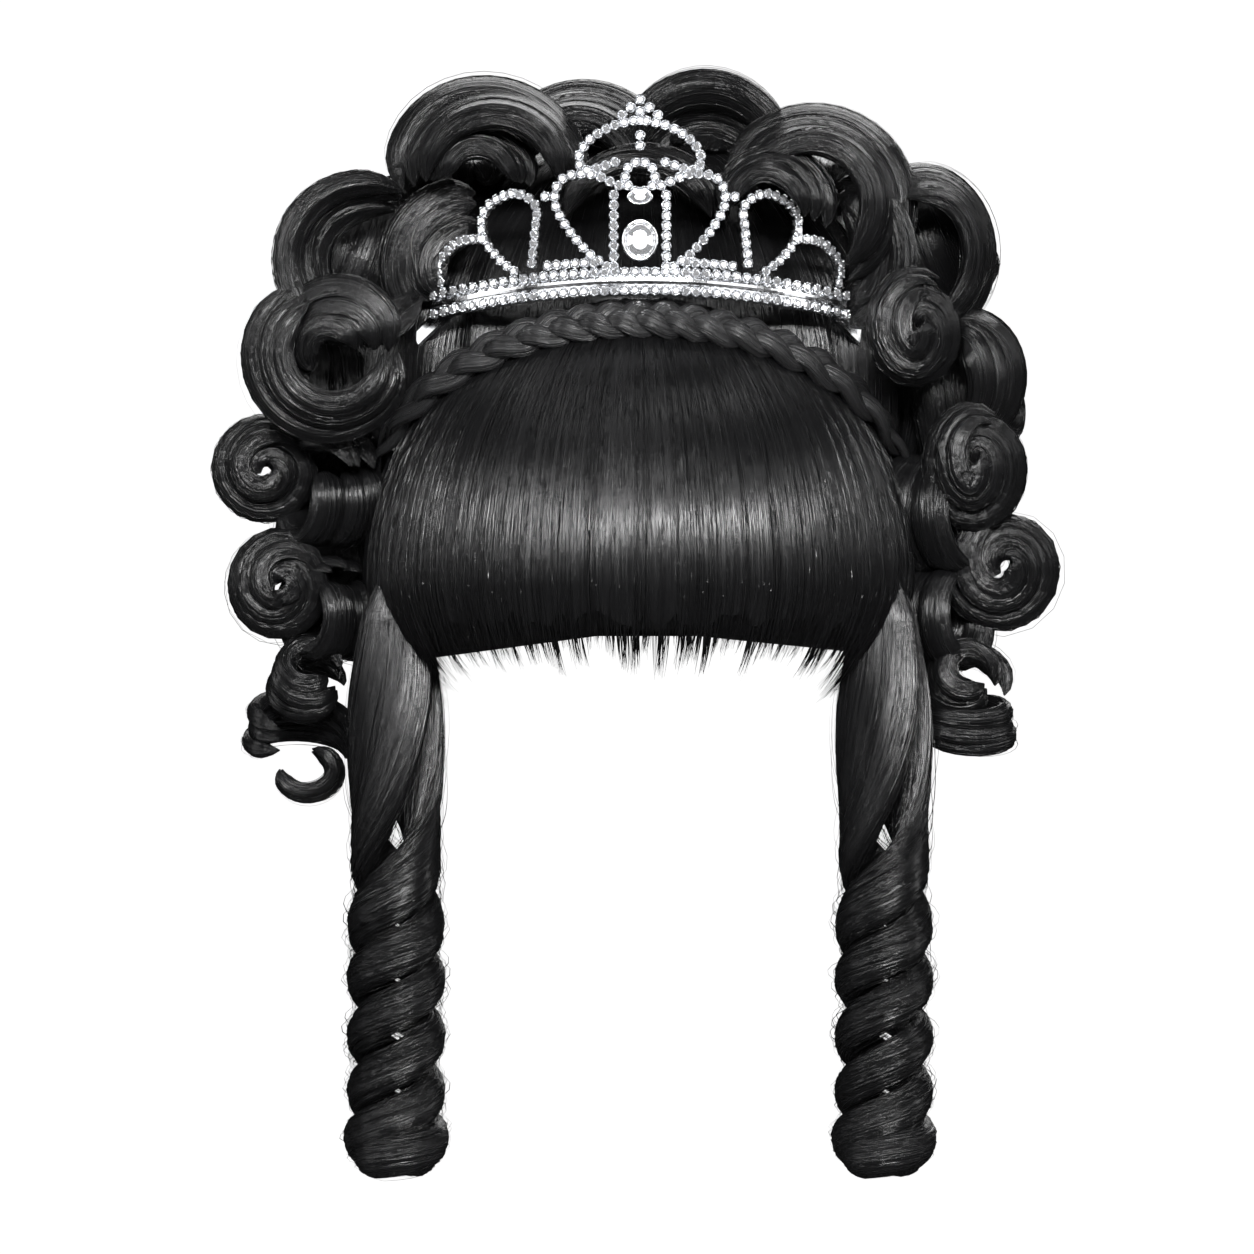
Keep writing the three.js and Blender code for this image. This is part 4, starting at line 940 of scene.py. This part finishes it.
def stone_places():
    places = []
    for side in (-1, 1):
        for arch in [TOP_ARCH] + SIDE_ARCHES:
            points = [tiara_point(side * across, up) for across, up in arch]
            places.append(np.array(points) if len(points) == 1 else spaced(smooth_route(points), STONE_PITCH))
        across = side * np.linspace(*THIRD_ROW, 6)
        places.append(tiara_point(across, BASE_UP + 0.5 * BASE_HEIGHT / TIARA_RISE + 0.035 + sag_at(across)))
    places.append(np.array([tiara_point(across, up) for across, up in FINIAL]))
    angle = np.arange(10) / 10 * 2 * math.pi
    places.append(tiara_point(RING_RADIUS * np.cos(angle) / TIARA_HALF_WIDTH,
                              RING_UP + RING_RADIUS * np.sin(angle) / TIARA_RISE))
    across = np.linspace(-0.985, 0.985, 42)
    for row in (-0.36, 0.36):
        places.append(tiara_point(across, BASE_UP + row * BASE_HEIGHT / TIARA_RISE + sag_at(across), 0.6 * MM))
    return np.vstack(places)


def facing(place):
    """The way out and the way across at a place on the tiara."""
    out = np.array([place[0], place[1] - (TIARA_CURVE_RADIUS - TIARA_SETBACK), 0.0])
    out /= np.linalg.norm(out)
    return out, np.cross([0, 0, 1.0], out)


def turned_form(piece, place, profile, sides, wide=1.0, high=1.0, spin=0.0):
    """A form turned round the way out: a profile of (radius, forward) pairs."""
    out, across = facing(place)
    angle = np.arange(sides) / sides * 2 * math.pi + spin
    rings = [place + out * forward + radius * (np.cos(angle)[:, None] * across * wide
             + np.sin(angle)[:, None] * np.array([0, 0, high])) for radius, forward in profile]
    piece.grid(np.array(rings), 1.0, np.zeros(len(rings)))


def make_tiara():
    places = stone_places()
    chance = seeded("tiara")
    metal = Piece("tiara_metal")
    stones = Piece("tiara_stones")
    r = CUP_RADIUS
    cup = [(0.55 * r, -0.9 * r), (0.9 * r, -0.7 * r), (r, 0.1 * r), (0.9 * r, 0.3 * r), (0.8 * r, 0.15 * r), (0.7 * r, -0.2 * r)]
    s = STONE_RADIUS
    cut = [(0.2 * s, -0.5 * s), (0.97 * s, 0.1 * s), (0.6 * s, 0.62 * s), (0.55 * s, 0.64 * s)]
    for place in places:
        turned_form(metal, place, cup, 12)
        turned_form(stones, place, cut, 8, spin=chance.uniform(0, math.pi))
    for number in range(4):
        angle = (number + 0.5) * math.pi / 2
        for place in places:
            out, across = facing(place)
            tip = place + r * 0.86 * (math.cos(angle) * across + math.sin(angle) * np.array([0, 0, 1.0])) + out * 0.3 * r
            turned_form(metal, tip, [(0.05 * r, -0.2 * r), (0.2 * r, 0), (0.05 * r, 0.2 * r)], 5)
    for side in (-1, 1):
        for arch in [TOP_ARCH] + SIDE_ARCHES:
            if len(arch) > 1:
                route = smooth_route([tiara_point(side * across, up, -1.0 * MM) for across, up in arch], 8)
                size = np.full(len(route), 0.8 * MM)
                outs = np.array([facing(point)[0] for point in route])
                bar = swept_lock(route, outs, size, size)
                share, angle = np.meshgrid(np.linspace(0, 1, len(route)), np.arange(8) / 8 * 2 * math.pi, indexing="ij")
                metal.grid(bar.at(share, angle, np.ones(share.shape))[0], 1.0, np.zeros(len(route)))
    flat_strip(metal, np.linspace(-0.985, 0.985, 60), BASE_UP, BASE_HEIGHT * 0.42, 0.5 * MM, 0.0, -0.6 * MM)
    flat_strip(metal, np.linspace(-0.985, 0.985, 60), BASE_UP, BASE_HEIGHT * 0.13, 0.6 * MM, 0.0, 0.5 * MM)
    flat_strip(metal, np.linspace(-BAND_REACH, BAND_REACH, 80), BAND_UP, BAND_HEIGHT / 2, 0.6 * MM, BAND_DROP)
    pieces = [metal.make(metal_material, ["tiara"], smooth=False),
              stones.make(stone_painted_glints_material, [], smooth=False)]
    print("Small stones:", len(places))
    return pieces


def flat_strip(piece, across, up, half_height, half_thickness, drop, forward=0.0):
    """A flat strip with rounded edges, bent along the foot of the tiara."""
    middle = tiara_point(across, up + sag_at(across) - drop * np.maximum(np.abs(across) - 0.9, 0), forward)
    angle = np.arange(12) / 12 * 2 * math.pi
    rings = []
    for place in middle:
        out, _ = facing(place)
        rise = np.clip(np.sin(angle) * 1.4, -1, 1) * half_height
        rings.append(place + np.outer(np.cos(angle) * half_thickness, out) + np.outer(rise, [0, 0, 1.0]))
    piece.grid(np.array(rings), 1.0, np.zeros(len(rings)))


tiara_pieces = make_tiara()

# %% [markdown]
# The two main stones are cut with a table, a crown of facets and a pointed back, and each sits in
# a smooth raised rim.

# %% Main stones
STONE_DEPTH = 2.4 * MM
MAIN_STONES = {
    "centre_stone": dict(up=0.255, wide=5.0 * MM, high=5.8 * MM, sides=16),
    "lozenge_stone": dict(up=0.48, wide=3.6 * MM, high=2.1 * MM, sides=8),
}


def make_main_stones():
    pieces = []
    rims = Piece("stone_rims")
    for name, size in MAIN_STONES.items():
        place = tiara_point(0, size["up"], 0.6 * MM)
        stone = Piece(name + "_cut")
        depth = STONE_DEPTH
        profile = [(0.1, -0.7 * depth), (0.6, -0.5 * depth), (1, 0), (0.86, 0.34 * depth), (0.56, 0.58 * depth),
                   (0.54, 0.59 * depth)]
        turned_form(stone, place, profile, size["sides"], size["wide"], size["high"])
        pieces.append(stone.make(stone_painted_glints_material, [name], smooth=False))
        rim = [(1.02, -0.6 * depth), (1.2, -0.3 * depth), (1.22, 0.1 * depth), (1.12, 0.26 * depth), (1.03, 0.1 * depth),
               (1.0, -0.1 * depth)]
        turned_form(rims, place, rim, 40, size["wide"], size["high"])
    pieces.append(rims.make(metal_material, []))
    return pieces


tiara_pieces += make_main_stones()

# %% [markdown]
# Polished metal shows only what it mirrors, and in a dim room that is nothing. A photographer puts
# white cards round it. Here they are soft boxes that shine on the tiara's pieces alone.

# %% Cards round the tiara
tiara_group = bpy.data.collections.new("tiara_pieces")
for tiara_piece in tiara_pieces:
    tiara_group.objects.link(tiara_piece)
CARD_DISTANCE = 2.5
CARDS = [
    # azimuth from the front and height above the tiara in degrees, width, height, power
    (-112, 6, 1.2, 1.3, 8),
    (-72, 6, 1.2, 1.3, 9),
    (-34, 6, 1.1, 1.1, 8),
    (6, 6, 1.2, 0.9, 7),
    (44, 6, 1.1, 1.1, 8),
    (80, 6, 1.2, 1.3, 9),
    (118, 6, 1.2, 1.3, 8),
    (0, 78, 1.8, 1.6, 28),
    (-45, 48, 0.9, 0.8, 8),
    (45, 48, 0.9, 0.8, 8),
    (0, -60, 1.6, 0.7, 6),
]
for number, (azimuth, height, wide, high, power) in enumerate(CARDS):
    level = CARD_DISTANCE * math.cos(height * DEGREE)
    place = Vector((level * math.sin(azimuth * DEGREE), -level * math.cos(azimuth * DEGREE),
                    CARD_DISTANCE * math.sin(height * DEGREE)))
    card = soft_box(f"card_{number}", place, wide, high, power)
    card.visible_camera = False
    card.light_linking.receiver_collection = tiara_group

# %% [markdown]
# The wig is held up as a head holds it, so the floor is well below it. The pale backdrop behind is
# seen by the camera alone, and so it doesn't grey the black hair.

# %% Floor and backdrop
def plain_finish(name, colour, glow):
    plain = Finish(name, Roughness=0.9)
    plain.shader.inputs["Base Color"].default_value = colour
    plain.shader.inputs["Emission Color"].default_value = colour
    plain.shader.inputs["Emission Strength"].default_value = glow
    return plain.material


bpy.ops.mesh.primitive_circle_add(vertices=96, radius=2, fill_type="NGON", location=(0, 0, -0.45))
floor = bpy.context.object
floor.name = "floor"
floor.data.materials.append(plain_finish("pale_floor", (0.85, 0.85, 0.85, 1), 0.35))
floor.visible_glossy = False
bpy.ops.mesh.primitive_uv_sphere_add(segments=48, ring_count=24, radius=9)
backdrop = bpy.context.object
backdrop.name = "backdrop"
backdrop.data.materials.append(plain_finish("pale_backdrop", (0.96, 0.96, 0.96, 1), 1.0))
backdrop.visible_glossy = False
backdrop.visible_diffuse = False
backdrop.visible_shadow = False
backdrop.visible_transmission = False

# %% Sizes and finish
print("Triangles in all:", sum(tally.values()))
